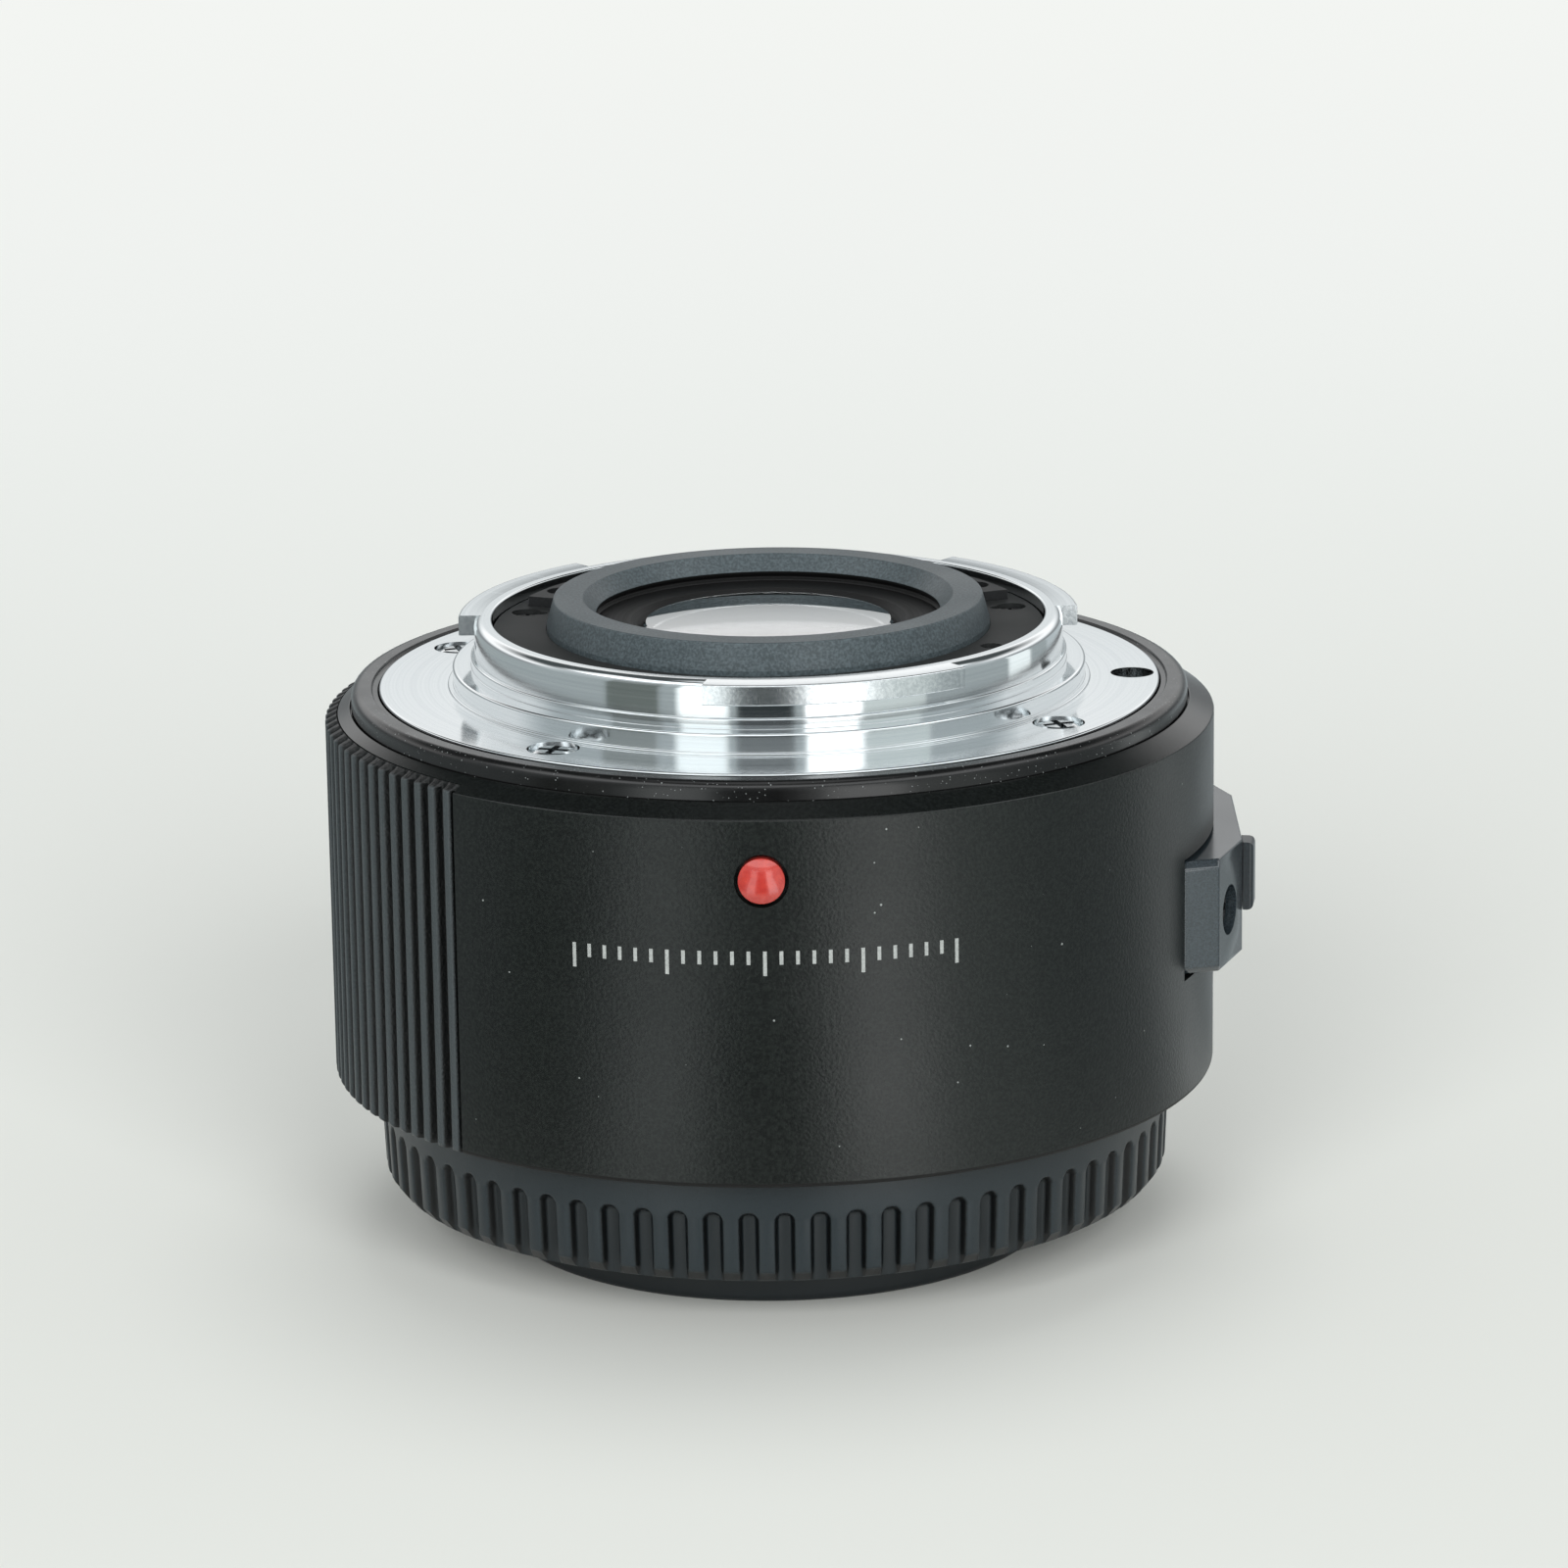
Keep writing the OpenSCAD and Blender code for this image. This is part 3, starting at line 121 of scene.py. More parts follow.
def gridFaces(rows, columns, wrapRows, wrapColumns):
    # Quads of a grid whose point (i, j) has the number i * columns + j
    i = np.arange(rows if wrapRows else rows - 1)[:, None]
    j = np.arange(columns if wrapColumns else columns - 1)[None]
    iNext, jNext = (i + 1) % rows, (j + 1) % columns
    corners = [i * columns + j, iNext * columns + j, iNext * columns + jNext, i * columns + jNext]
    return np.stack(np.broadcast_arrays(*corners), -1).reshape(-1, 4)


def addMesh(name, shells, sharp=crispAngle):
    # One object from shells of (points in mm, list of faces); edges sharper than the angle stay crisp
    points, faces, start = [], [], 0
    for shellPoints, shellFaces in shells:
        points.append(np.asarray(shellPoints, float).reshape(-1, 3))
        faces += [[int(v) + start for v in face] for face in shellFaces]
        start += len(points[-1])
    mesh = bpy.data.meshes.new(name)
    mesh.from_pydata((np.concatenate(points) * mm).tolist(), [], faces)
    mesh.update()
    piece = bpy.data.objects.new(name, mesh)
    bpy.context.scene.collection.objects.link(piece)
    smooth(piece, sharp)
    return piece


def smooth(piece, sharp):  # smooth shading, with edges above the angle left crisp
    piece.data.shade_smooth()
    piece.data.set_sharp_from_angle(angle=math.radians(sharp))


def turned(line, columns):
    # Surface of revolution: the closed line (r, z) at every angle of a full turn
    az = np.linspace(0, 360, columns, endpoint=False)[:, None]
    return polar(az, line[None, :, 0], line[None, :, 1]), gridFaces(columns, len(line), True, True)


def withPoles(body, low, high, columns):
    # A turned grid of columns points round the axis, its open ends closed by fans to poles on the axis
    count = len(body) // columns
    first = np.arange(columns) * count
    after = np.roll(first, -1)
    pole = np.full(columns, len(body))
    fans = [np.stack([pole, after, first], -1),
            np.stack([pole + 1, first + count - 1, after + count - 1], -1)]
    faces = gridFaces(columns, count, True, False).tolist() + np.concatenate(fans).tolist()
    return np.concatenate([body, [[0, 0, low], [0, 0, high]]]), faces


def dome(line, columns):
    # Surface of revolution of an open line (r, z) that starts and ends on the axis
    az = np.linspace(0, 360, columns, endpoint=False)[:, None]
    inner = line[1:-1]
    body = polar(az, inner[None, :, 0], inner[None, :, 1]).reshape(-1, 3)
    return withPoles(body, line[0, 1], line[-1, 1], columns)


def endedFaces(columns, count):  # faces of a grid whose rows are closed lines, with its two flat ends
    ends = [list(range(count)), list(range(columns * count - 1, (columns - 1) * count - 1, -1))]
    return gridFaces(columns, count, False, True).tolist() + ends


def sector(line, az0, az1, columns):
    # Part of a surface of revolution: the closed line (r, z) from az0 to az1, with flat ends
    az = np.linspace(az0, az1, columns)[:, None]
    return polar(az, line[None, :, 0], line[None, :, 1]), endedFaces(columns, len(line))


def layered(outlines, levels):
    # Outlines (x, y) of one count of points at rising heights, joined by walls and closed by flat ends
    outlines = np.asarray(outlines, float)
    rows, count = outlines.shape[:2]
    points = np.column_stack([outlines.reshape(-1, 2), np.repeat(levels, count)])
    ends = [list(range(count - 1, -1, -1)), list(range((rows - 1) * count, rows * count))]
    return points, gridFaces(rows, count, False, True)[:, ::-1].tolist() + ends


def prism(outline, low, high):  # straight prism on an outline (x, y)
    return layered([outline, outline], [low, high])


def circle(radius, count):  # outline (x, y) of a circle round the origin
    turn = np.linspace(0, 2 * np.pi, count, endpoint=False)
    return np.column_stack([radius * np.cos(turn), radius * np.sin(turn)])


def placed(shell, matrix):  # a shell turned and moved by a 4 x 4 matrix in mm
    points, faces = shell
    points = np.asarray(points, float).reshape(-1, 3)
    turn = np.array(matrix)
    return points @ turn[:3, :3].T + turn[:3, 3], faces


def standing(az, r, z):  # local Z along +Z, local X outwards at az
    x, y, _ = polar(az, r, 0.0)
    return Matrix.Translation((x, y, z)) @ Matrix.Rotation(math.radians(az - 90), 4, "Z")


def lying(az, r, z):  # local Z outwards at az, local Y up
    x, y, _ = polar(az, r, 0.0)
    outwards = Vector((math.sin(math.radians(az)), -math.cos(math.radians(az)), 0))
    along = Vector((0, 0, 1)).cross(outwards)
    turn = Matrix((along, Vector((0, 0, 1)), outwards)).transposed().to_4x4()
    return Matrix.Translation((x, y, z)) @ turn


def combine(piece, shells, operation):
    # The piece with closed shells cut out of it or added to it
    tool = addMesh("tool", shells)
    step = piece.modifiers.new("combine", "BOOLEAN")
    step.operation = operation
    step.solver = "MANIFOLD"
    step.object = tool
    view = bpy.context.evaluated_depsgraph_get()
    made = bpy.data.meshes.new_from_object(piece.evaluated_get(view))
    piece.modifiers.clear()
    old = piece.data
    piece.data = made
    made.name = piece.name
    bpy.data.meshes.remove(old)
    toolMesh = tool.data
    bpy.data.objects.remove(tool)
    bpy.data.meshes.remove(toolMesh)
    smooth(piece, crispAngle)


def settle(piece, body, nodes, slot, evenNormals=False):
    # Material, ride and stand-in of a finished piece; even normals keep flats flat round cut holes
    piece.data.materials.clear()
    piece.data.materials.append(finishes[slot])
    if evenNormals:
        weighted = piece.modifiers.new("evenNormals", "WEIGHTED_NORMAL")
        weighted.keep_sharp = True
    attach(piece, body)
    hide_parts(*nodes)


def facePlaces(piece):  # centres in mm and normals of a piece's faces
    found = []
    for name in ("center", "normal"):
        values = np.empty(len(piece.data.polygons) * 3, np.float32)
        piece.data.polygons.foreach_get(name, values)
        found.append(values.reshape(-1, 3))
    return found[0] / mm, found[1]


def addFinish(piece, material, faces):  # one more material on some of a piece's faces
    numbers = np.empty(len(piece.data.polygons), np.int32)
    piece.data.polygons.foreach_get("material_index", numbers)
    numbers[faces] = len(piece.data.materials)
    piece.data.materials.append(material)
    piece.data.polygons.foreach_set("material_index", numbers)


# Materials

def linear(colour):  # sRGB hex to linear RGBA
    srgb = np.array([int(colour[i:i + 2], 16) for i in (1, 3, 5)]) / 255
    rgb = np.where(srgb <= 0.04045, srgb / 12.92, ((srgb + 0.055) / 1.055) ** 2.4)
    return (*rgb.tolist(), 1.0)


def perMm(size):  # pattern scale on Object coordinates for a feature of that size in mm
    return 1.0 / (size * mm)


def addNode(tree, kind, links=None, stops=None, **settings):
    # Node with its settings, its input values or links, and a colour ramp's stops
    node = tree.nodes.new(kind)
    for name, value in settings.items():
        setattr(node, name, value)
    for socket, source in (links or {}).items():
        if isinstance(source, bpy.types.NodeSocket):
            tree.links.new(source, node.inputs[socket])
        else:
            node.inputs[socket].default_value = source
    if stops:
        ramp = node.color_ramp.elements
        while len(ramp) < len(stops):
            ramp.new(1.0)
        for element, (position, colour) in zip(ramp, stops):
            element.position = position
            element.color = linear(colour)
    return node


def startFinish(name, **values):
    # Material with a Principled shader whose plain values are set on its own sockets
    material = bpy.data.materials.new(name)
    material.use_nodes = True
    tree = material.node_tree
    tree.nodes.clear()
    shader = addNode(tree, "ShaderNodeBsdfPrincipled",
                     {socket.replace("_", " "): value for socket, value in values.items()})
    addNode(tree, "ShaderNodeOutputMaterial", {"Surface": shader.outputs[0]})
    place = addNode(tree, "ShaderNodeTexCoord").outputs["Object"]
    return material, tree, shader, place


# Sizes in mm of the wide noises, the range of noise that the roughness runs over, and the share of a
# cell that its largest speck fills
patternSettings = {"cloud": 9.0, "rubberCloud": 3.0, "depthShadedCloud": 4.0, "haze": 6.0, "gloss": (0.3, 0.7),
                   "speck": 0.22, "rubberSpeck": 0.42, "uneven": 0.4}


def specks(tree, place, size, share, spread):
    # Mask of dust: cells of the given size in mm hold a speck where their random value lies under the share
    cells = addNode(tree, "ShaderNodeTexVoronoi", {"Vector": place, "Scale": perMm(size)})
    random = addNode(tree, "ShaderNodeSeparateColor", {"Color": cells.outputs["Color"]})
    rare = addNode(tree, "ShaderNodeMath", {0: random.outputs[0], 1: share}, operation="LESS_THAN")
    wide = addNode(tree, "ShaderNodeMath", {0: random.outputs[1], 1: spread}, operation="MULTIPLY")
    near = addNode(tree, "ShaderNodeMath", {0: cells.outputs["Distance"], 1: wide.outputs[0]},
                   operation="LESS_THAN")
    return addNode(tree, "ShaderNodeMath", {0: rare.outputs[0], 1: near.outputs[0]},
                   operation="MULTIPLY").outputs[0]


def finishOff(tree, shader, colour, cloud, rough, relief=None, depth=0.0):
    # What the finishes end with: their colour, a roughness that runs between two values over a cloud of
    # noise, and a relief of depth mm
    low, high = patternSettings["gloss"]
    gloss = addNode(tree, "ShaderNodeMapRange",
                    {"Value": cloud.outputs[0], "From Min": low, "From Max": high, "To Min": rough[0],
                     "To Max": rough[1]})
    tree.links.new(colour, shader.inputs["Base Color"])
    tree.links.new(gloss.outputs[0], shader.inputs["Roughness"])
    if relief:
        lift = addNode(tree, "ShaderNodeBump",
                       {"Height": relief.outputs[0], "Distance": depth * mm, "Strength": 1.0})
        tree.links.new(lift.outputs[0], shader.inputs["Normal"])


def axisPlace(tree, place):  # distance from the optical axis, and height
    flat = addNode(tree, "ShaderNodeVectorMath", {0: place, 1: (1.0, 1.0, 0.0)}, operation="MULTIPLY")
    radius = addNode(tree, "ShaderNodeVectorMath", {0: flat.outputs[0]}, operation="LENGTH")
    split = addNode(tree, "ShaderNodeSeparateXYZ", {0: place})
    return radius.outputs["Value"], split.outputs[2]


def speckled(name, dark, light, grain, depth, rough, dust=None, **values):
    # Fine even grain: noise of the grain's size lifts the surface by depth mm, shifts its colour
    # between dark and light, and a wider cloud shifts its roughness; dust is (colour, size, share)
    material, tree, shader, place = startFinish(name, **values)
    grit = addNode(tree, "ShaderNodeTexNoise", {"Vector": place, "Scale": perMm(grain), "Detail": 2.0})
    cloud = addNode(tree, "ShaderNodeTexNoise",
                    {"Vector": place, "Scale": perMm(patternSettings["cloud"]), "Detail": 3.0})
    tint = addNode(tree, "ShaderNodeValToRGB", {"Fac": grit.outputs[0]},
                   stops=[(0.38, dark), (0.66, light)])
    colour = tint.outputs[0]
    if dust:
        mask = specks(tree, place, dust[1], dust[2], patternSettings["speck"])
        colour = addNode(tree, "ShaderNodeMix", {0: mask, 6: colour, 7: linear(dust[0])},
                         data_type="RGBA").outputs[2]
    finishOff(tree, shader, colour, cloud, rough, grit, depth)
    return material


def dusty(name, dark, light, dust, size, share, rough, **values):
    # Soft rubber with pale dust on it; wide noise shifts the colour and the roughness
    material, tree, shader, place = startFinish(name, **values)
    cloud = addNode(tree, "ShaderNodeTexNoise",
                    {"Vector": place, "Scale": perMm(patternSettings["rubberCloud"]), "Detail": 4.0})
    tint = addNode(tree, "ShaderNodeValToRGB", {"Fac": cloud.outputs[0]},
                   stops=[(0.35, dark), (0.7, light)])
    mask = specks(tree, place, size, share, patternSettings["rubberSpeck"])
    mixed = addNode(tree, "ShaderNodeMix", {0: mask, 6: tint.outputs[0], 7: linear(dust)}, data_type="RGBA")
    finishOff(tree, shader, mixed.outputs[2], cloud, rough)
    return material


def depthShaded(name, stops, span, lean, grain, depth, rough, **values):
    # Moulded relief: the colour runs through its stops over the distance from the axis, less lean mm for
    # each mm of height, so that dark stops paint shade into the relief's low parts; a fine noise lifts the
    # surface by depth mm, and a wide one shifts its roughness
    material, tree, shader, place = startFinish(name, **values)
    radius, rise = axisPlace(tree, place)
    grit = addNode(tree, "ShaderNodeTexNoise", {"Vector": place, "Scale": perMm(grain), "Detail": 3.0})
    cloud = addNode(tree, "ShaderNodeTexNoise",
                    {"Vector": place, "Scale": perMm(patternSettings["depthShadedCloud"]), "Detail": 3.0})
    upright = addNode(tree, "ShaderNodeMath", {0: rise, 1: -lean, 2: radius}, operation="MULTIPLY_ADD")
    height = addNode(tree, "ShaderNodeMapRange",
                     {"Value": upright.outputs[0], "From Min": span[0] * mm, "From Max": span[1] * mm})
    swing = patternSettings["uneven"]
    uneven = addNode(tree, "ShaderNodeMath", {0: grit.outputs[0], 1: swing, 2: -swing / 2},
                     operation="MULTIPLY_ADD")
    # Height in the relief, with grain, picks the colour: the low parts take the dark stops as painted shade
    reliefShade = addNode(tree, "ShaderNodeMath", {0: height.outputs[0], 1: uneven.outputs[0]}, operation="ADD")
    tint = addNode(tree, "ShaderNodeValToRGB", {"Fac": reliefShade.outputs[0]}, stops=stops)
    finishOff(tree, shader, tint.outputs[0], cloud, rough, grit, depth)
    return material


def turnedMetal(name, dark, light, line, depth, rough, **values):
    # Metal from the lathe: noise over the distance from the axis and the height alone gives rings,
    # which lift the surface by depth mm and shift its colour and roughness a little. The tangent runs
    # round the axis, and a quarter turn of it stretches the gloss across the rings
    material, tree, shader, place = startFinish(name, **values)
    radius, rise = axisPlace(tree, place)
    ring = addNode(tree, "ShaderNodeCombineXYZ", {0: radius, 2: rise})
    lines = addNode(tree, "ShaderNodeTexNoise",
                    {"Vector": ring.outputs[0], "Scale": perMm(line), "Detail": 3.0})
    tint = addNode(tree, "ShaderNodeValToRGB", {"Fac": lines.outputs[0]},
                   stops=[(0.3, dark), (0.7, light)])
    around = addNode(tree, "ShaderNodeVectorMath", {0: (0.0, 0.0, 1.0), 1: place},
                     operation="CROSS_PRODUCT")
    tree.links.new(around.outputs[0], shader.inputs["Tangent"])
    finishOff(tree, shader, tint.outputs[0], lines, rough, lines, depth)
    return material


def opticalGlass(name, **values):
    # Polished optical glass: clear, with a faint cloud in its tint; its coating sets how much it mirrors
    material, tree, shader, place = startFinish(name, Transmission_Weight=1.0, IOR=1.8, Roughness=0.01,
                                                **values)
    haze = addNode(tree, "ShaderNodeTexNoise",
                   {"Vector": place, "Scale": perMm(patternSettings["haze"]), "Detail": 2.0})
    tint = addNode(tree, "ShaderNodeValToRGB", {"Fac": haze.outputs[0]},
                   stops=[(0.3, "#f4f7f8"), (0.7, "#fafbfb")])
    tree.links.new(tint.outputs[0], shader.inputs["Base Color"])
    return material


def hardCoatedGlass():
    # The rear element's outer coating: hard and bright, so that it mirrors the room
    return opticalGlass("hard_coated_glass", Coat_Weight=1.0, Coat_IOR=2.3, Coat_Roughness=0.01)


def milledChrome():
    # Chrome over milled brass on the bayonet lugs: the same metal, brushed dull by the cutter
    return speckled("milled_chrome", "#d3d7d9", "#e6e9ea", 0.3, 0.004, (0.2, 0.27), Metallic=1.0)


def bevelPaint():
    # The barrel's black paint on its turned bevel: smoother, so the room shows in it
    return speckled("smooth_bevel_paint", "#060807", "#111413", 0.26, 0.004, (0.19, 0.25))


def printInk():
    # Screen-printed ink: pale grey, flat, a little uneven
    return speckled("printed_ink", "#8b8f8d", "#9b9f9d", 0.2, 0.001, (0.5, 0.6))


finishes = {
    # Satin black paint sprayed on aluminium: even grit, drawn coarse enough to show, wide soft gloss
    "barrel_paint": speckled("satin_spray_paint", "#060908", "#141816", 0.26, 0.028, (0.32, 0.38),
                             dust=("#7d8280", 0.5, 0.012), Specular_IOR_Level=0.41),
    # Moulded rubber grip: dry, near black in its grooves as painted shade, grey on the crests of its ribs
    "grip_rubber": depthShaded("moulded_grip_rubber", [(0.55, "#020303"), (0.98, "#363c3e")],
                          (barrelR - 0.6, barrelR), 0.0, 0.2, 0.07, (0.36, 0.46)),
    # Lip seal of soft rubber: glossy black that gathers specks of dust
    "seal_rubber": dusty("glossy_seal_rubber", "#0b0b0b", "#121212", "#747978", 0.15, 0.09,
                         (0.17, 0.24), Specular_IOR_Level=0.5),
    # Hard chrome on turned brass: mirror-bright with fine rings
    "mount_chrome": turnedMetal("hard_chrome", "#dde1e3", "#eceff0", 0.25, 0.0003, (0.08, 0.12),
                                Metallic=1.0, Anisotropic=0.9, Anisotropic_Rotation=0.25),
    # Nickel-plated steel screw: bright, with a slight haze
    "screw_chrome": speckled("nickel_screw", "#c3c7c9", "#dde0e1", 0.3, 0.002, (0.12, 0.2),
                             Metallic=1.0),
    # Blackened steel screw: dark with a dull gloss
    "screw_black": speckled("blackened_steel", "#141516", "#232526", 0.2, 0.004, (0.34, 0.44),
                            Metallic=0.4),
    # Matt black anodised plate: dry, with hardly any gloss
    "plate_black": speckled("matt_anodised_plate", "#1a1b1b", "#232525", 0.14, 0.006, (0.6, 0.7)),
    # Moulded black nylon: a fine grain and a weak gloss
    "block_plastic": speckled("moulded_nylon", "#161718", "#1f2021", 0.2, 0.006, (0.5, 0.6)),
    # Satin black anodised tube, bead-blasted to a fine even grain
    "tube_black": speckled("blasted_anodised_tube", "#353d40", "#4b5559", 0.22, 0.014, (0.36, 0.44)),
    # Black anodised lens barrel, dull against stray light; the outer barrel's lower rounded edge also takes
    # it as painted shade
    "cell_black": turnedMetal("dull_anodised_cell", "#090909", "#101010", 0.3, 0.003, (0.5, 0.6),
                              Specular_IOR_Level=0.3),
    # Bloomed glass of the inner elements, which hardly mirrors
    "lens_glass": opticalGlass("bloomed_optical_glass", Specular_IOR_Level=0.08),
    # Red enamel bead with a clear gloss
    "index_red": speckled("red_enamel", "#a3302a", "#ae3930", 0.6, 0.001, (0.16, 0.22),
                          Coat_Weight=0.6, Coat_Roughness=0.05),
    # Moulded release block, bluish dark grey satin
    "housing_plastic": speckled("moulded_block", "#242b2f", "#2e363b", 0.2, 0.002, (0.17, 0.22),
                                Specular_IOR_Level=0.95),
    # Moulded thumb tab, a darker grey and a little rougher
    "tab_plastic": speckled("moulded_tab", "#181d20", "#22292d", 0.2, 0.003, (0.26, 0.32)),
    # Moulded polypropylene cap: bluish black, the flanks of its slots darker as painted shade. The colour's
    # span runs from the slots' floors to the leaning wall
    "cap_plastic": depthShaded("moulded_polypropylene",
                          [(0.08, "#12181b"), (0.3, "#030405"), (0.72, "#050708"), (0.98, "#1b2327")],
                          (31.98, 32.78), 0.0435, 0.2, 0.008, (0.36, 0.44)),
    # Gold plate on the contacts: warm and bright
    "contact_gold": speckled("gold_plate", "#d9a441", "#e8b955", 0.3, 0.002, (0.16, 0.24), Metallic=1.0),
    # Drawn spring steel: plain grey metal, half bright
    "spring_steel": speckled("spring_steel", "#8f9294", "#a9acae", 0.3, 0.002, (0.25, 0.35),
                             Metallic=1.0),
    # Rolled brass shim: dull yellow metal
    "shim_brass": speckled("rolled_brass", "#a98945", "#b99a55", 0.3, 0.002, (0.3, 0.4), Metallic=1.0),
    # Green solder resist on a circuit board: smooth with a soft gloss
    "board_green": speckled("circuit_board_resist", "#1c4a2a", "#245a35", 0.4, 0.004, (0.3, 0.4)),
    # Polyimide flex: amber film with a clear gloss
    "flex_amber": speckled("polyimide_flex", "#8a4d16", "#a05f22", 0.5, 0.002, (0.2, 0.3)),
}
for part in frame["record"]["subparts"]:
    node = frame["nodes"][part["node"]]
    node.data.materials.clear()
    node.data.materials.append(finishes[part["material_slot"]])
print("finishes made:", len(finishes))


# Pieces

capSettings = {
    "rimR": 33.4, "taper": 0.4, "footH": 5.0, "edgeH": 9.2, "footR": 23.3, "skirtR": 31.5, "wall": 1.8,
    "slots": 72, "slotTurn": 1.07, "slotW": 1.36, "slotL": 5.9, "slotDepth": 0.8, "slotRound": 0.46,
    "chamferW": 0.75, "chamferH": 0.95,
    "neckR": 24.3, "cupR": 22.7, "pinRoomR": 32.22, "pinRoomZ": 12.05, "lugR": 25.65, "lugSpan": 49.5,
    "lugStarts": (-12, 92, 220), "lugZ": (3.9, 5.1), "lugRoot": 0.5, "lugDrop": 0.05, "webH": 0.6,
    "edgeStart": 0.25, "sideRows": 3, "endRows": (0.08, 1.04, 14), "edgeDepth": 0.3,
    "slotSteps": (0.0, 0.42, 0.52, 0.62, 0.72, 0.82, 0.94),
}


def makeCap():
    # A turned shell whose edge is pressed in by slots: the depth at a point falls off with its distance
    # from a slot's centre line, which ends in a half circle at the top and runs out at the bottom
    s = capSettings
    lowR = s["rimR"] - s["taper"]
    rimZ = s["footH"] + s["edgeH"]
    webZ = s["footH"] + s["webH"]
    shelfZ = webZ + s["wall"]
    lugZ, lugTop = lensZ + s["lugZ"][0], lensZ + s["lugZ"][1]
    slotTop = s["footH"] + s["slotL"] - s["slotW"] / 2
    low, high, rows = s["endRows"]
    side = np.linspace(s["footH"] + s["chamferH"] + s["edgeStart"], slotTop, s["sideRows"])
    edge = np.array([[lowR + s["taper"] * (z - s["footH"]) / s["edgeH"], z] for z in
                     np.concatenate([side, np.linspace(slotTop + low, slotTop + high, rows)])])
    foot = roundedLine([(0.0, 0.0), (s["footR"], 0.0, 0.6), (s["footR"], webZ, 0.3),
                        (s["skirtR"], webZ, 0.2), (s["skirtR"], s["footH"], 0.1),
                        (lowR - s["chamferW"], s["footH"], 0.12),
                        (lowR, s["footH"] + s["chamferH"], 0.2), tuple(edge[0])],
                       steps=3, closed=False)[1:-1]
    inside = roundedLine([tuple(edge[-1]), (s["rimR"], rimZ, 0.35), (s["pinRoomR"], rimZ, 0.1),
                          (s["pinRoomR"], s["pinRoomZ"]), (s["skirtR"], s["pinRoomZ"]),
                          (s["skirtR"], shelfZ), (s["neckR"], shelfZ), (s["neckR"], lugTop, 0.2),
                          (s["cupR"], lugTop, 0.2), (s["cupR"], s["wall"], 0.5), (0.0, s["wall"])],
                         steps=2, closed=False)[1:-1]
    line = np.concatenate([foot, edge, inside])
    pitch = 360 / s["slots"]
    arc = math.radians(pitch) * lowR
    half = np.array(s["slotSteps"]) / arc * pitch
    across = np.sort(np.concatenate([-half[1:], half, [pitch / 2]]))
    az = (s["slotTurn"] + pitch * np.arange(s["slots"])[:, None] + across[None]).ravel()
    offset = np.tile(across, s["slots"])[:, None] / pitch * arc
    above = np.maximum(line[None, :, 1] - slotTop, 0)
    distance = np.hypot(offset, above) - s["slotW"] / 2
    press = np.clip(0.5 - distance / s["slotRound"], 0, 1)
    press = press * press * (3 - 2 * press) * s["slotDepth"]
    wall = lowR + s["taper"] * (line[None, :, 1] - s["footH"]) / s["edgeH"]
    radius = np.broadcast_to(line[None, :, 0], press.shape)
    outside = np.arange(len(line)) < len(foot) + len(edge) + 2
    onEdge = (radius > s["skirtR"] + s["edgeDepth"]) & outside[None]
    radius = np.where(onEdge, np.minimum(radius, wall - press), radius)
    ring = polar(az[:, None], radius, line[None, :, 1]).reshape(-1, 3)
    cap = addMesh("cap", [withPoles(ring, 0.0, s["wall"], len(az))])
    rootR, lugHigh = s["cupR"] + s["lugRoot"], lugTop - s["lugDrop"]
    lugLine = roundedLine([(rootR, lugZ), (s["lugR"], lugZ, 0.15), (s["lugR"], lugHigh, 0.3),
                           (rootR, lugHigh)])
    combine(cap, [sector(lugLine, start, start + s["lugSpan"], 48) for start in s["lugStarts"]], "UNION")
    settle(cap, "cap", ["front_cap"], "cap_plastic")


blockSettings = {
    "az": 89.2, "low": 24.9, "high": 34.5, "flatX": 39.08, "cornerX": 36.82, "footX": 33.82,
    "flatHalf": 7.23, "half": 13.82, "flare": 0.8, "seatR": 36.25, "gap": 0.35, "lay": 0.1, "soft": 0.16,
    "endChamfer": 0.6,
    "boreR": 2.1, "boreDepth": 1.5, "wingAngle": 18.93, "wingX": 37.81, "wingY": 10.92, "boreZ": 29.5,
    "boreOver": 3.0, "shankR": 0.65, "shankDepth": 6.0, "shankLap": 0.2, "softSteps": 3, "softFrom": 40,
    "windowAz": (79.35, 92.25), "windowZ": (29.35, 32.95), "windowR": (32.9, 42.0),
}


def blockOutline(gap, seat):
    # Plan of the release block, grown by a gap: flat middle, two sloped wings, flared feet, round seat
    s = blockSettings
    half, flat = s["half"] + gap, s["flatHalf"] + gap
    reachOut = math.acos(s["footX"] / seat)
    turn = np.linspace(reachOut, -reachOut, 25)
    arc = np.column_stack([seat * np.cos(turn), seat * np.sin(turn)])
    front = [(s["footX"], -half - s["flare"]), (s["cornerX"], -half), (s["flatX"], -flat),
             (s["flatX"], flat), (s["cornerX"], half), (s["footX"], half + s["flare"])]
    return np.concatenate([front, arc])


def blockFrame():  # frame of the block's plan: origin on the axis, local X outwards through its flat
    return standing(blockSettings["az"], 0.0, 0.0)


def windowCut():  # the tab's window through block and barrel, a sector of a square ring
    s = blockSettings
    (low, high), (inner, outer) = s["windowZ"], s["windowR"]
    line = np.array([(inner, low), (outer, low), (outer, high), (inner, high)])
    return sector(line, *s["windowAz"], 24)


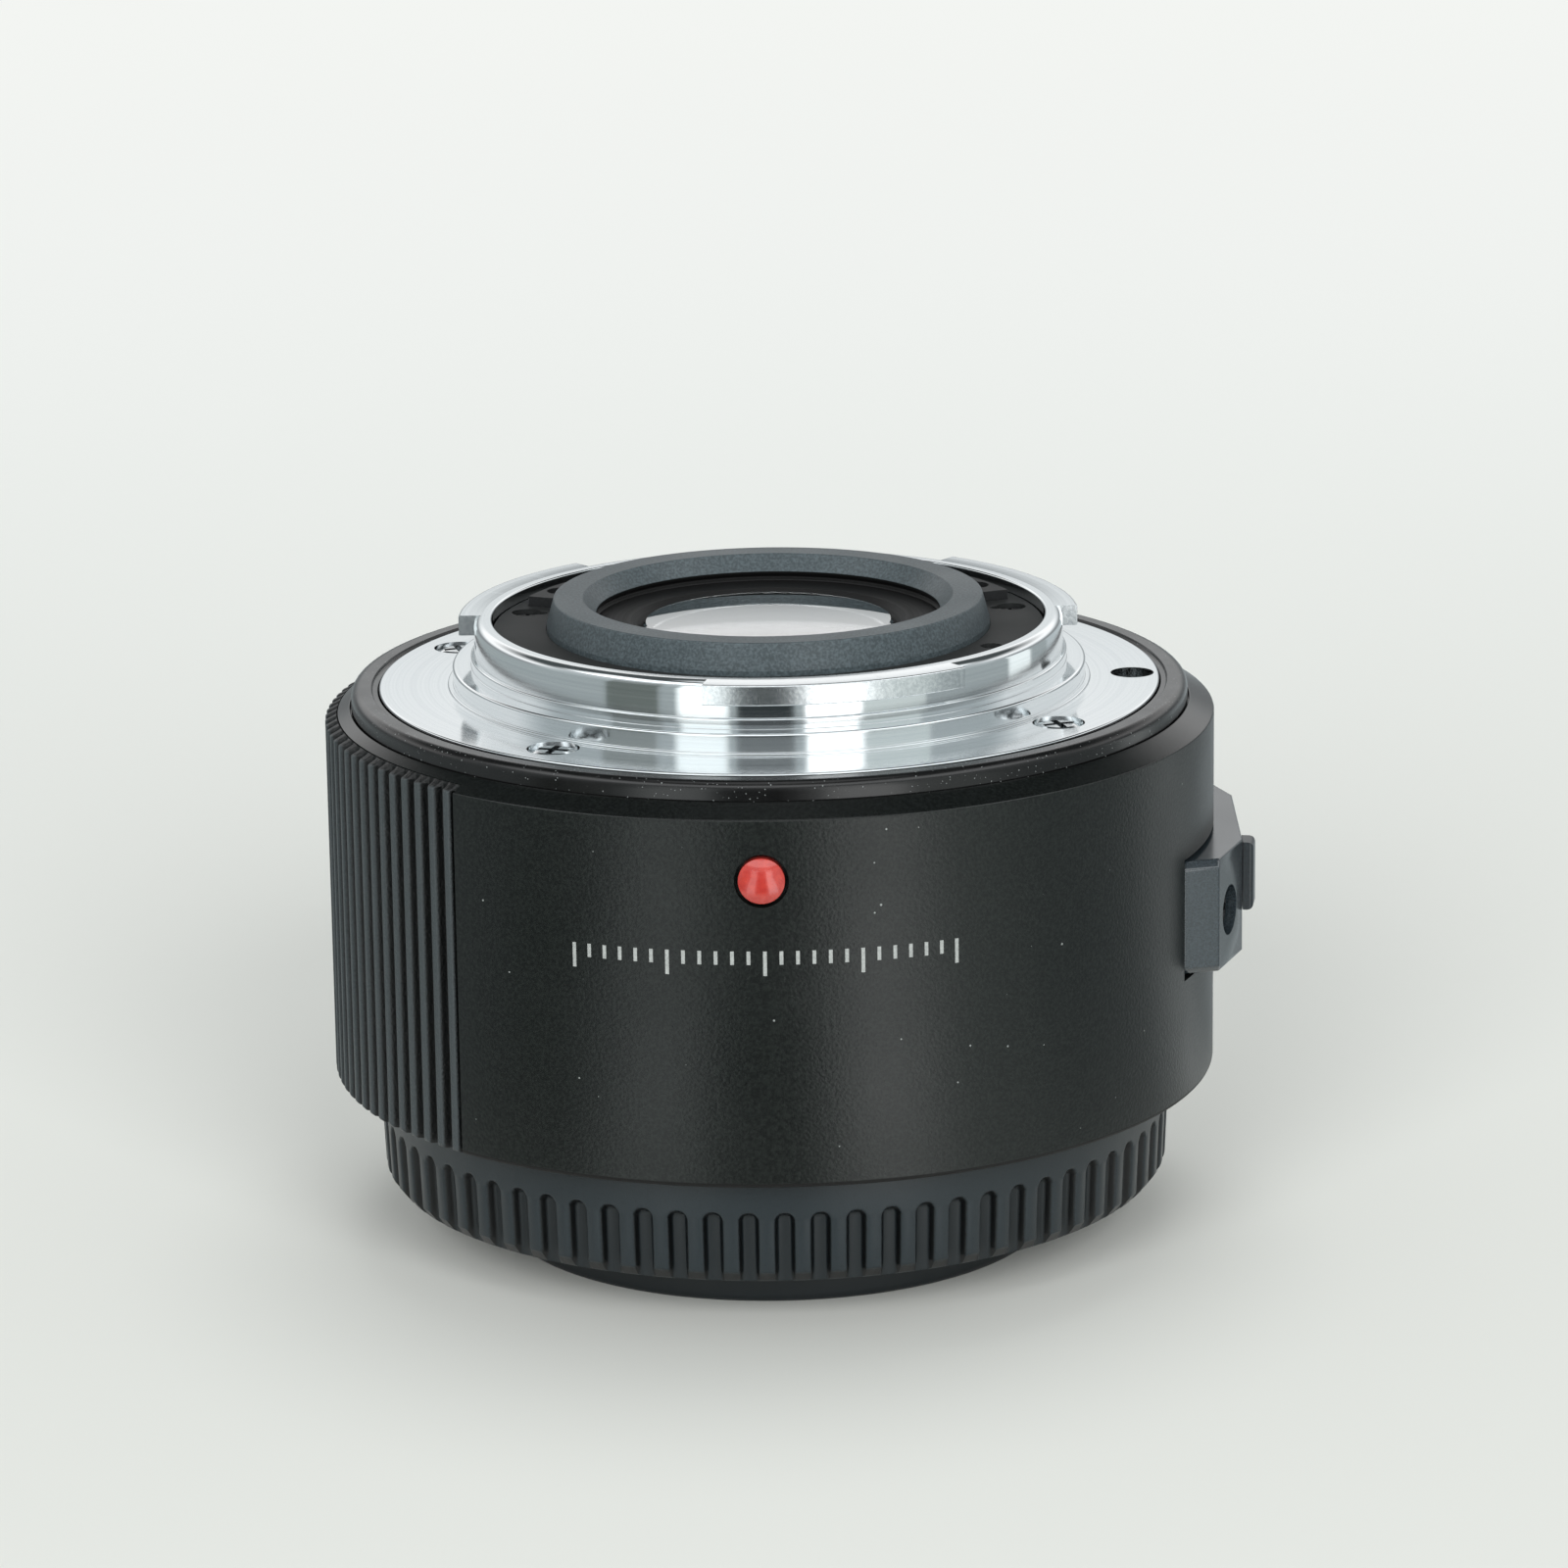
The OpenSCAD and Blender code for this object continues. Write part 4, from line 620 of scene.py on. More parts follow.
def makeBlock():
    # Plan of the block carried up, its two ends chamfered below and above
    s = blockSettings
    full = blockOutline(0.0, s["seatR"] + s["lay"])
    short = full.copy()
    ends = [0, 1, 4, 5]  # the feet and the wings' outer corners
    short[ends, 1] -= np.sign(full[ends, 1]) * s["endChamfer"]
    shell = layered([short, full, full, short], [s["low"], s["low"] + s["endChamfer"],
                                                 s["high"] - s["endChamfer"], s["high"]])
    block = addMesh("releaseBlock", [placed(shell, blockFrame())])
    soften = block.modifiers.new("soften", "BEVEL")
    soften.width = s["soft"] * mm
    soften.segments = s["softSteps"]
    soften.limit_method = "ANGLE"
    soften.angle_limit = math.radians(s["softFrom"])
    bores = []
    for side in (-1, 1):
        wing = blockFrame() @ Matrix.Translation((s["wingX"], side * s["wingY"], s["boreZ"]))
        wing = wing @ Matrix.Rotation(math.radians(side * s["wingAngle"]), 4, "Z")
        wing = wing @ Matrix.Rotation(math.radians(90), 4, "Y")
        bores.append(placed(prism(circle(s["boreR"], 64), -s["boreDepth"], s["boreOver"]), wing))
        shank = prism(circle(s["shankR"], 32), -s["shankDepth"], -s["boreDepth"] + s["shankLap"])
        bores.append(placed(shank, wing))
    combine(block, [windowCut()], "DIFFERENCE")
    combine(block, bores[::2], "DIFFERENCE")
    combine(block, bores[1::2], "DIFFERENCE")
    settle(block, "converter", ["release_housing"], "housing_plastic", evenNormals=True)


tabSettings = {"az": 81.3, "back": 7.9, "w": 2.3, "h": 5.8, "low": 28.25, "round": 0.5, "inset": 0.02,
               "stemW": 1.6, "stemZ": (29.65, 32.65), "stemR": 33.7, "stemLap": 0.4}


def makeTab():
    # A thumb bar with rounded outer edges, its inner face parallel to the block's flat, and its stem
    s, k = tabSettings, blockSettings
    turn = math.radians(s["back"])
    flat = k["flatX"] + k["lay"]
    inner = [(flat - side * s["w"] / 2 * math.sin(turn)) / math.cos(turn) for side in (-1, 1)]
    outer = reach("release_tab") * math.cos(math.atan2(s["w"] / 2, flat)) - s["inset"]
    plan = roundedLine([(inner[0], -s["w"] / 2), (outer, -s["w"] / 2, 0.3), (outer, s["w"] / 2, 0.3),
                        (inner[1], s["w"] / 2)], steps=6)
    rise = np.linspace(0, 1, 9)
    pull = s["round"] * (1 - np.sqrt(1 - (1 - rise) ** 2))
    levels = np.concatenate([s["low"] + s["round"] * rise, s["low"] + s["h"] - s["round"] * rise[::-1]])
    pull = np.concatenate([pull, pull[::-1]])
    outlines = np.repeat(plan[None], len(levels), 0)
    innerX = np.interp(outlines[:, :, 1], [-s["w"] / 2, s["w"] / 2], inner)
    outlines[:, :, 0] = np.maximum(np.minimum(outlines[:, :, 0], outer - pull[:, None]), innerX)
    tab = addMesh("releaseTab", [placed(layered(outlines, levels), standing(s["az"], 0.0, 0.0))], sharp=45)
    half, stemEnd = s["stemW"] / 2, flat + s["stemLap"]
    stem = [(s["stemR"], -half), (stemEnd, -half), (stemEnd, half), (s["stemR"], half)]
    combine(tab, [placed(prism(stem, *s["stemZ"]), standing(s["az"], 0.0, 0.0))], "UNION")
    settle(tab, "release", ["release_tab"], "tab_plastic", evenNormals=True)


beadSettings = {"az": -1.3, "z": 39.59, "r": 1.85, "dome": 0.65, "sunk": 1.1, "gap": 0.3,
                "crownShare": 0.96}


def makeBead():
    # A stub whose top is a cap of a sphere, its rim rounded
    s = beadSettings
    ball = (s["r"] ** 2 + s["dome"] ** 2) / (2 * s["dome"])
    turn = np.linspace(math.asin(s["r"] * s["crownShare"] / ball), 0, 14)
    crown = np.column_stack([ball * np.sin(turn), s["dome"] - ball + ball * np.cos(turn)])
    wall = roundedLine([(0.0, -s["sunk"]), (s["r"], -s["sunk"]), (s["r"], 0.0, 0.1), tuple(crown[0])],
                       closed=False)[:-1]
    bead = addMesh("indexBead", [placed(dome(np.concatenate([wall, crown]), 72),
                                        lying(s["az"], barrelR, s["z"]))], sharp=50)
    settle(bead, "converter", ["index_bead"], "index_red")


gripSettings = {"from": -223.0, "to": -43.0, "ribs": 65, "ribH": 0.85, "web": 0.2, "crest": 0.54,
                "lay": 0.1, "flank": 0.22, "flankSteps": (-1.6, -1.0, -0.5, 0.0, 0.5, 1.0, 1.8),
                "crownFall": 0.05,
                "endGap": 0.15, "rowsFrom": 1.2, "rowsTo": 1.0, "rows": 9}

barrelSettings = {"bevelW": 2.1, "bevelH": 1.05, "footRound": 0.4, "edgeRound": 0.2, "boreR": 33.9,
                  "registerR": 26.35, "ledgeR": 24.2, "ledgeZ": (39.95, 41.55), "shoulderZ": (17.95, 20.6),
                  "lugRoomR": 26.9, "boreGap": 0.2, "cutUnder": 1, "cutOver": 2, "roomOver": 3.0,
                  "bevelFacing": 0.5, "footShadeFacing": -0.12}


def makeBarrel():
    # A turned shell with a bevelled upper edge, cut out for the grip, the bead, the block and its window
    s, g, b = barrelSettings, gripSettings, beadSettings
    lipR = barrelR - s["bevelW"]
    innerR = flangeR + s["boreGap"]
    line = roundedLine([
        (innerR, lensZ, 0.1), (barrelR, lensZ, s["footRound"]),
        (barrelR, edgeZ - s["bevelH"], s["edgeRound"]), (lipR, edgeZ, 0.08), (lipR, seatZ),
        (s["registerR"], seatZ), (s["registerR"], s["ledgeZ"][1]), (s["ledgeR"], s["ledgeZ"][1]),
        (s["ledgeR"], s["ledgeZ"][0]), (s["boreR"], s["ledgeZ"][0]), (s["boreR"], s["shoulderZ"][1]),
        (s["lugRoomR"], s["shoulderZ"][1]), (s["lugRoomR"], s["shoulderZ"][0]),
        (innerR, s["shoulderZ"][0])])
    barrel = addMesh("barrel", [turned(line, 720)])
    gripFloor = barrelR - g["ribH"] - g["web"]
    low, high, outer = lensZ - s["cutUnder"], edgeZ + s["cutOver"], barrelR + s["cutOver"]
    pocketLine = np.array([(gripFloor, low), (outer, low), (outer, high), (gripFloor, high)])
    combine(barrel, [sector(pocketLine, g["from"], g["to"], 361)], "DIFFERENCE")
    beadHole = placed(prism(circle(b["r"] + b["gap"], 96), -b["sunk"], s["roomOver"]),
                      lying(b["az"], barrelR, b["z"]))
    k = blockSettings
    outline = blockOutline(k["gap"], k["seatR"])
    outline[1:5, 0] += s["roomOver"]
    blockRoom = placed(prism(outline, k["low"] - k["gap"], k["high"] + k["gap"]), blockFrame())
    combine(barrel, [beadHole, blockRoom], "DIFFERENCE")
    combine(barrel, [windowCut()], "DIFFERENCE")
    settle(barrel, "converter", ["outer_barrel"], "barrel_paint", evenNormals=True)
    centres, normals = facePlaces(barrel)
    onBevel = (centres[:, 2] > edgeZ - s["bevelH"]) & (normals[:, 2] > s["bevelFacing"])
    addFinish(barrel, bevelPaint(), onBevel)
    # Dull black on the barrel's lower rounded edge is painted shade: the dark line where the barrel
    # overhangs the cap
    footShadeFaces = (centres[:, 2] < lensZ + s["footRound"]) & (normals[:, 2] < s["footShadeFacing"])
    addFinish(barrel, finishes["cell_black"], footShadeFaces)


def makeGrip():
    # Band whose radius is a row of rounded ribs over the angle, cut by the barrel's bevelled outline
    s, b = gripSettings, barrelSettings
    pitch = (s["to"] - s["from"]) / s["ribs"]
    arc = math.radians(pitch) * barrelR
    half = s["crest"] * arc / 2
    flank = s["flank"]
    across = np.array([-arc / 2, *(-half + np.array(s["flankSteps"]) * flank), 0.0])
    across = np.concatenate([across, -across[1:-1][::-1]])
    rib = np.clip((half + flank - np.abs(across)) / (2 * flank), 0, 1)
    rib = rib * rib * (3 - 2 * rib)
    crown = 1 - s["crownFall"] * np.clip(np.abs(across) / half, 0, 1) ** 4
    ridge = np.tile(rib * crown, s["ribs"])
    az = (s["from"] + pitch * (np.arange(s["ribs"])[:, None] + 0.5 + across[None] / arc)).ravel()
    az = np.append(az, s["to"])
    ridge = np.append(ridge, 0.0)
    az[0], az[-1] = s["from"] + s["endGap"], s["to"] - s["endGap"]
    floorR = barrelR - s["ribH"]
    innerR = floorR - s["web"] + s["lay"]
    outline = roundedLine([(innerR, lensZ), (barrelR, lensZ, b["footRound"]),
                           (barrelR, edgeZ - b["bevelH"], 0.12),
                           (innerR, edgeZ - b["bevelH"] + (barrelR - innerR) * b["bevelH"] / b["bevelW"])])
    outline = outline[np.argsort(outline[:, 1], kind="stable")]
    middle = np.linspace(lensZ + s["rowsFrom"], edgeZ - b["bevelH"] - s["rowsTo"], s["rows"])
    middle = np.column_stack([np.full(s["rows"], barrelR), middle])
    onWall = outline[:, 0] > innerR + 1e-6  # the outline without its inner line
    wall = np.concatenate([outline[onWall], middle])
    wall = wall[np.argsort(wall[:, 1], kind="stable")]
    line = np.concatenate([[[innerR, lensZ]], wall, outline[~onWall][-1:]])
    limit = floorR + s["ribH"] * ridge[:, None]
    radius = np.minimum(line[None, :, 0], limit)
    points = polar(az[:, None], radius, line[None, :, 1])
    grip = addMesh("gripBand", [(points, endedFaces(*points.shape[:2]))], sharp=55)
    settle(grip, "converter", ["grip_band"], "grip_rubber")


sealSettings = {"gap": 0.1, "w": 2.25, "roll": 1.12, "lip": 0.55, "crest": 0.03, "lipSlope": 0.1,
                "lipDrop": 0.25, "edgeDrop": 0.22}


def makeSeal():
    # Turned lip seal: a round roll outside, a thin flat lip inside
    s = sealSettings
    inner = flangeR + s["gap"]
    outer = inner + s["w"]
    crest = flangeZ - s["crest"]
    line = roundedLine([(inner, seatZ), (outer, seatZ), (outer, crest, s["roll"]),
                        (inner + s["lip"], crest, 0.06),
                        (inner + s["lip"] - s["lipSlope"], crest - s["lipDrop"], 0.05),
                        (inner, crest - s["edgeDrop"], 0.08)], steps=10)
    seal = addMesh("sealRing", [turned(line, 540)], sharp=60)
    settle(seal, "converter", ["rear_seal"], "seal_rubber")


mountSettings = {
    "registerR": 26.35, "registerH": 1.68, "neckR": 24.5, "throatR": 23.0, "spigotR": 26.25,
    "spigotZ": 43.55,
    "lugR": 25.8, "lugReach": 3.82, "lugRoot": 0.5, "lugSpan": 49.5, "lugStarts": (-12, 92, 220),
    "lugOutside": 0.2, "lugUnder": 0.05, "lugFacing": 0.9,
    "lockAz": 89.2, "lockR": 30.27, "lockHoleR": 1.8, "cutUnder": 1, "cutOver": 2.0,
    "screwAz": (-36.7, 53.6, 131, 245.5), "screwRing": 29.0, "headR": 2.05, "headH": 1.1, "headGap": 0.08,
    "headSink": 0.08, "beadW": 0.4, "beadH": 0.18, "ledgeW": 0.3, "ledgeH": 0.85, "edgeRound": 0.75,
    "flush": 0.004,
}


def makeMount():
    # Turned bayonet ring with a round upper edge, a ledge on its neck and a fine bead at the collar's foot,
    # three lugs, screw seats and the lock hole
    s = mountSettings
    collarTop = flangeZ + s["registerH"]
    beadR, beadTop = s["registerR"] + s["beadW"], flangeZ + s["beadH"]
    ledgeR, ledgeTop = s["neckR"] + s["ledgeW"], collarTop + s["ledgeH"]
    line = roundedLine([
        (s["throatR"], s["spigotZ"]), (s["spigotR"], s["spigotZ"]), (s["spigotR"], seatZ),
        (flangeR, seatZ), (flangeR, flangeZ, 0.16), (beadR, flangeZ, 0.03), (beadR, beadTop, 0.14),
        (s["registerR"], beadTop, 0.03), (s["registerR"], collarTop, 0.2), (ledgeR, collarTop, 0.04),
        (ledgeR, ledgeTop, 0.16), (s["neckR"], ledgeTop, 0.03), (s["neckR"], ringTop, s["edgeRound"]),
        (s["throatR"], ringTop, 0.15)], steps=6)
    mount = addMesh("cameraMount", [turned(line, 720)])
    lugZ = flangeZ + s["lugReach"]
    rootR, lugTop = s["throatR"] + s["lugRoot"], ringTop - s["flush"]
    lugLine = roundedLine([(rootR, lugZ), (s["lugR"], lugZ, 0.1), (s["lugR"], lugTop, 0.16),
                           (rootR, lugTop)])
    combine(mount, [sector(lugLine, start, start + s["lugSpan"], 100) for start in s["lugStarts"]], "UNION")
    depth = s["headH"] + s["headSink"]
    seat = prism(circle(s["headR"] + s["headGap"], 64), -depth, s["cutOver"])
    lockHole = prism(circle(s["lockHoleR"], 64), seatZ - flangeZ - s["cutUnder"], s["cutOver"])
    holes = [placed(seat, standing(az, s["screwRing"], flangeZ)) for az in s["screwAz"]]
    holes.append(placed(lockHole, standing(s["lockAz"], s["lockR"], flangeZ)))
    combine(mount, holes, "DIFFERENCE")
    settle(mount, "converter", ["rear_mount"], "mount_chrome", evenNormals=True)
    centres, normals = facePlaces(mount)
    outside = np.hypot(centres[:, 0], centres[:, 1]) > s["neckR"] + s["lugOutside"]
    onLug = outside & (centres[:, 2] > lugZ - s["lugUnder"])
    addFinish(mount, milledChrome(), onLug & (normals[:, 2] < s["lugFacing"]))


screwSettings = {"shankR": 0.85, "end": -4.3, "edge": -0.42, "crown": -0.02, "arm": 0.62, "slot": 0.14,
                 "cross": (-0.7, 1.0), "firstTurn": 18, "turnStep": 37}


def makeMountScrews():
    # Turned pan heads with a straight cross cut into each, and their shanks
    s, k = mountSettings, screwSettings
    arm, slot = s["headR"] * k["arm"], s["headR"] * k["slot"]
    head = roundedLine([(0.0, k["end"]), (k["shankR"], k["end"], 0.1), (k["shankR"], -s["headH"]),
                        (s["headR"], -s["headH"], 0.1), (s["headR"], k["edge"], 0.25),
                        (arm, k["crown"], 0.5), (0.0, 0.0)], closed=False)
    bar = prism([(-arm, -slot), (arm, -slot), (arm, slot), (-arm, slot)], *k["cross"])
    heads, crosses = [], []
    for number, az in enumerate(s["screwAz"]):
        seat = standing(az, s["screwRing"], flangeZ - s["headSink"])
        turn = k["firstTurn"] + k["turnStep"] * number
        seat = seat @ Matrix.Rotation(math.radians(turn), 4, "Z")
        heads.append(placed(dome(head, 72), seat))
        crosses.append(placed(bar, seat))
        crosses.append(placed(bar, seat @ Matrix.Rotation(math.radians(90), 4, "Z")))
    screws = addMesh("mountScrews", heads)
    combine(screws, crosses[::2], "DIFFERENCE")
    combine(screws, crosses[1::2], "DIFFERENCE")
    settle(screws, "converter", ["rear_mount_screws"], "screw_chrome", evenNormals=True)


tubeSettings = {"footR": 18.45, "topR": 17.82, "boreR": 14.3, "mouth": 2.42, "floorZ": 47.02, "drop": 1.3,
                "rings": 9, "ringDepth": 0.28, "ringSteps": 8, "ringGap": 0.25, "footRise": 0.4,
                "columns": 360}


def makeTube():
    # Turned tube, a little narrower at the top, with a bevelled mouth and fine rings down its bore
    s = tubeSettings
    top = heights("rear_tube")[1]
    plateTop = heights("rear_plate")[1]
    bore = s["boreR"]
    outer = roundedLine([(bore, s["floorZ"]), (s["footR"], s["floorZ"]),
                         (s["footR"], plateTop + s["footRise"], 0.3), (s["topR"], top, 0.16),
                         (s["topR"] - s["mouth"], top, 0.12),
                         (bore, top - s["drop"], 0.1), (bore, s["floorZ"])], closed=False, steps=6)[:-1]
    fall = top - s["drop"] - s["floorZ"] - 2 * s["ringGap"]
    steps = s["rings"] * s["ringSteps"]
    share = (np.arange(steps) + 0.5) / steps
    wave = bore + s["ringDepth"] * (0.5 - 0.5 * np.cos(2 * np.pi * s["rings"] * share))
    threads = np.column_stack([wave, top - s["drop"] - s["ringGap"] - fall * share])
    line = np.concatenate([outer, threads])
    tube = addMesh("rearTube", [turned(line, s["columns"])], sharp=60)
    settle(tube, "converter", ["rear_tube"], "tube_black")
    inBore = np.arange(len(line)) >= len(outer) - 1
    addFinish(tube, finishes["cell_black"], np.tile(inBore, s["columns"]))


glassSettings = {"faceR": 10.2, "rimZ": 50.8, "lipR": 10.42, "fall": 0.22, "dip": 0.6,
                 "underShare": 0.9, "lipDrop": 0.15, "rows": 16}


def makeRearGlass():
    # The rear element: a nearly flat polished face that stands proud of its ground edge
    s = glassSettings
    low, high = heights("rear_lens")
    outR = reach("rear_lens")
    face = np.linspace(1, 0, s["rows"])
    crown = np.column_stack([s["faceR"] * face, high - s["fall"] * face ** 2])
    under = np.column_stack([outR * s["underShare"] * face[::-1], low + s["dip"] * (1 - face[::-1] ** 2)])
    rim = roundedLine([tuple(under[-1]), (outR, low), (outR, s["rimZ"]), (s["lipR"], s["rimZ"]),
                       (s["lipR"], crown[0, 1] - s["lipDrop"]), tuple(crown[0])], closed=False)[1:-1]
    glass = addMesh("rearGlass", [dome(np.concatenate([under, rim, crown]), 180)], sharp=30)
    settle(glass, "converter", ["rear_lens"], "lens_glass")
    glass.data.materials[0] = hardCoatedGlass()


printSettings = {"from": -25.0, "to": 23.0, "low": 31.9, "high": 33.9, "ticks": 25, "w": 0.3,
                 "proud": 0.012, "sunk": 0.03, "longEvery": 6, "shortShare": 0.55}


def makeTicks():
    # A row of short printed lines, every sixth one longer, each a thin sheet that follows the barrel
    s = printSettings
    az = np.linspace(s["from"], s["to"], s["ticks"])
    half = math.degrees(s["w"] / 2 / barrelR)
    inner, outer = barrelR - s["sunk"], barrelR + s["proud"]
    short = s["high"] - (s["high"] - s["low"]) * s["shortShare"]
    shells = []
    for number, middle in enumerate(az):
        low = short if number % s["longEvery"] else s["low"]
        line = np.array([(inner, low), (outer, low), (outer, s["high"]), (inner, s["high"])])
        shells.append(sector(line, middle - half, middle + half, 3))
    ticks = addMesh("printedTicks", shells)
    ticks.data.materials.append(printInk())
    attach(ticks, "converter")


makeCap()
makeBarrel()
makeGrip()
makeSeal()
print("barrel, grip, seal and cap made")
makeMount()
makeMountScrews()
makeTube()
makeRearGlass()
print("bayonet and tube made")
makeBlock()
makeTab()
makeBead()
makeTicks()
print("release block, bead and print made")


# Stage, light and camera

stageSettings = {
    "floorNear": "#e2e4df", "floorFar": "#f9fbf8", "fadeFrom": -0.08, "fadeTo": 0.62, "size": 12.0,
    "backdrop": "#f3f5f2", "backFrom": 0.2, "backFull": 0.8,
    "sky": "#eef1f2", "skyLight": 0.46, "skyShown": 1.2,
    "skyRise": ((8, "#8d9193"), (13, "#d8dcdd"), (17, "#ffffff"), (22, "#ffffff"), (36, "#454a4b"),
                (70, "#454a4b"), (76, "#e0e3e4")),
    "windowRise": ((13, "#94989a"), (23, "#94989a"), (30, "#646869"), (37, "#e6e9ea"), (54, "#e6e9ea"),
                   (62, "#303233"), (70, "#303233"), (76, "#9fa1a2")),
    "lamps": (("softbox", 9.0, 1.3, (0.15, 0.6, 2.0)), ("windowLeft", 58.0, 1.6, (-0.95, -2.7, 1.25)),
              ("windowRight", 58.0, 1.6, (0.95, -2.7, 1.25))),
    "cardStart": 0.055, "cardFull": 0.08, "cardTop": (16, 26), "cardShare": 0.82, "cardStrength": 2.6,
    "cardEdge": 1.6, "cardBase": "#6b7172", "ahead": (-0.1, 0.3),
    "cards": ((-62, -42, "#464b49"), (-33, -16, "#cacfcf"), (-11, 8, "#1b1f20"), (14, 33, "#f4f6f6"),
              (35, 59, "#8f9594"), (103, 117, "#abb0b0"), (134, 178, "#7d8385")),
}


def cardTones(tree, place):
    # Pale and dark cards that stand round the object out of view, as bands by the angle from -Y
    s = stageSettings
    split = addNode(tree, "ShaderNodeSeparateXYZ", {0: place})
    front = addNode(tree, "ShaderNodeMath", {0: split.outputs[1], 1: -1.0}, operation="MULTIPLY")
    turn = addNode(tree, "ShaderNodeMath", {0: split.outputs[0], 1: front.outputs[0]}, operation="ARCTAN2")
    share = addNode(tree, "ShaderNodeMapRange",
                    {"Value": turn.outputs[0], "From Min": -math.pi, "From Max": math.pi})
    stops = [(0.0, s["cardBase"])]
    for low, high, colour in s["cards"]:
        edges = (low - s["cardEdge"], low, high, high + s["cardEdge"])
        tones = (s["cardBase"], colour, colour, s["cardBase"])
        stops += [((edge + 180) / 360, tone) for edge, tone in zip(edges, tones)]
    ramp = addNode(tree, "ShaderNodeValToRGB", {"Fac": share.outputs[0]}, stops=stops)
    return ramp.outputs[0], split


def makeFloor():
    # Large pale sheet whose colour lifts with the distance behind the object, and which far off looks like
    # the backdrop; glossy surfaces see the cards on it from a little way off
    s = stageSettings
    half = s["size"] / 2
    mesh = bpy.data.meshes.new("floor")
    corners = [(-half, -half, 0), (half, -half, 0), (half, half, 0), (-half, half, 0)]
    mesh.from_pydata(corners, [], [(0, 1, 2, 3)])
    floor = bpy.data.objects.new("floor", mesh)
    bpy.context.scene.collection.objects.link(floor)
    material, tree, shader, place = startFinish("pale_paper", Roughness=0.9, Specular_IOR_Level=0.0)
    cards, split = cardTones(tree, place)
    depth = addNode(tree, "ShaderNodeMapRange",
                    {"Value": split.outputs[1], "From Min": s["fadeFrom"], "From Max": s["fadeTo"]},
                    interpolation_type="SMOOTHSTEP")
    tone = addNode(tree, "ShaderNodeValToRGB", {"Fac": depth.outputs[0]},
                   stops=[(0.0, s["floorNear"]), (1.0, s["floorFar"])])
    tree.links.new(tone.outputs[0], shader.inputs["Base Color"])
    glow = addNode(tree, "ShaderNodeEmission", {"Color": cards, "Strength": s["cardStrength"]})
    away = addNode(tree, "ShaderNodeVectorMath", {0: place}, operation="LENGTH")
    beyond = addNode(tree, "ShaderNodeMapRange",
                     {"Value": away.outputs["Value"], "From Min": s["cardStart"],
                      "From Max": s["cardFull"]}, interpolation_type="SMOOTHSTEP")
    path = addNode(tree, "ShaderNodeLightPath")
    seen = addNode(tree, "ShaderNodeMath", {0: beyond.outputs[0], 1: path.outputs["Is Glossy Ray"]},
                   operation="MULTIPLY")
    mixed = addNode(tree, "ShaderNodeMixShader",
                    {0: seen.outputs[0], 1: shader.outputs[0], 2: glow.outputs[0]})
    far = addNode(tree, "ShaderNodeMapRange",
                  {"Value": away.outputs["Value"], "From Min": s["backFrom"], "From Max": s["backFull"]},
                  interpolation_type="SMOOTHSTEP")
    viewed = addNode(tree, "ShaderNodeMath", {0: far.outputs[0], 1: path.outputs["Is Camera Ray"]},
                     operation="MULTIPLY")
    backdrop = addNode(tree, "ShaderNodeEmission", {"Color": linear(s["backdrop"])})
    ground = addNode(tree, "ShaderNodeMixShader",
                     {0: viewed.outputs[0], 1: mixed.outputs[0], 2: backdrop.outputs[0]})
    tree.links.new(ground.outputs[0], tree.nodes["Material Output"].inputs["Surface"])
    material.cycles.emission_sampling = "NONE"
    mesh.materials.append(material)


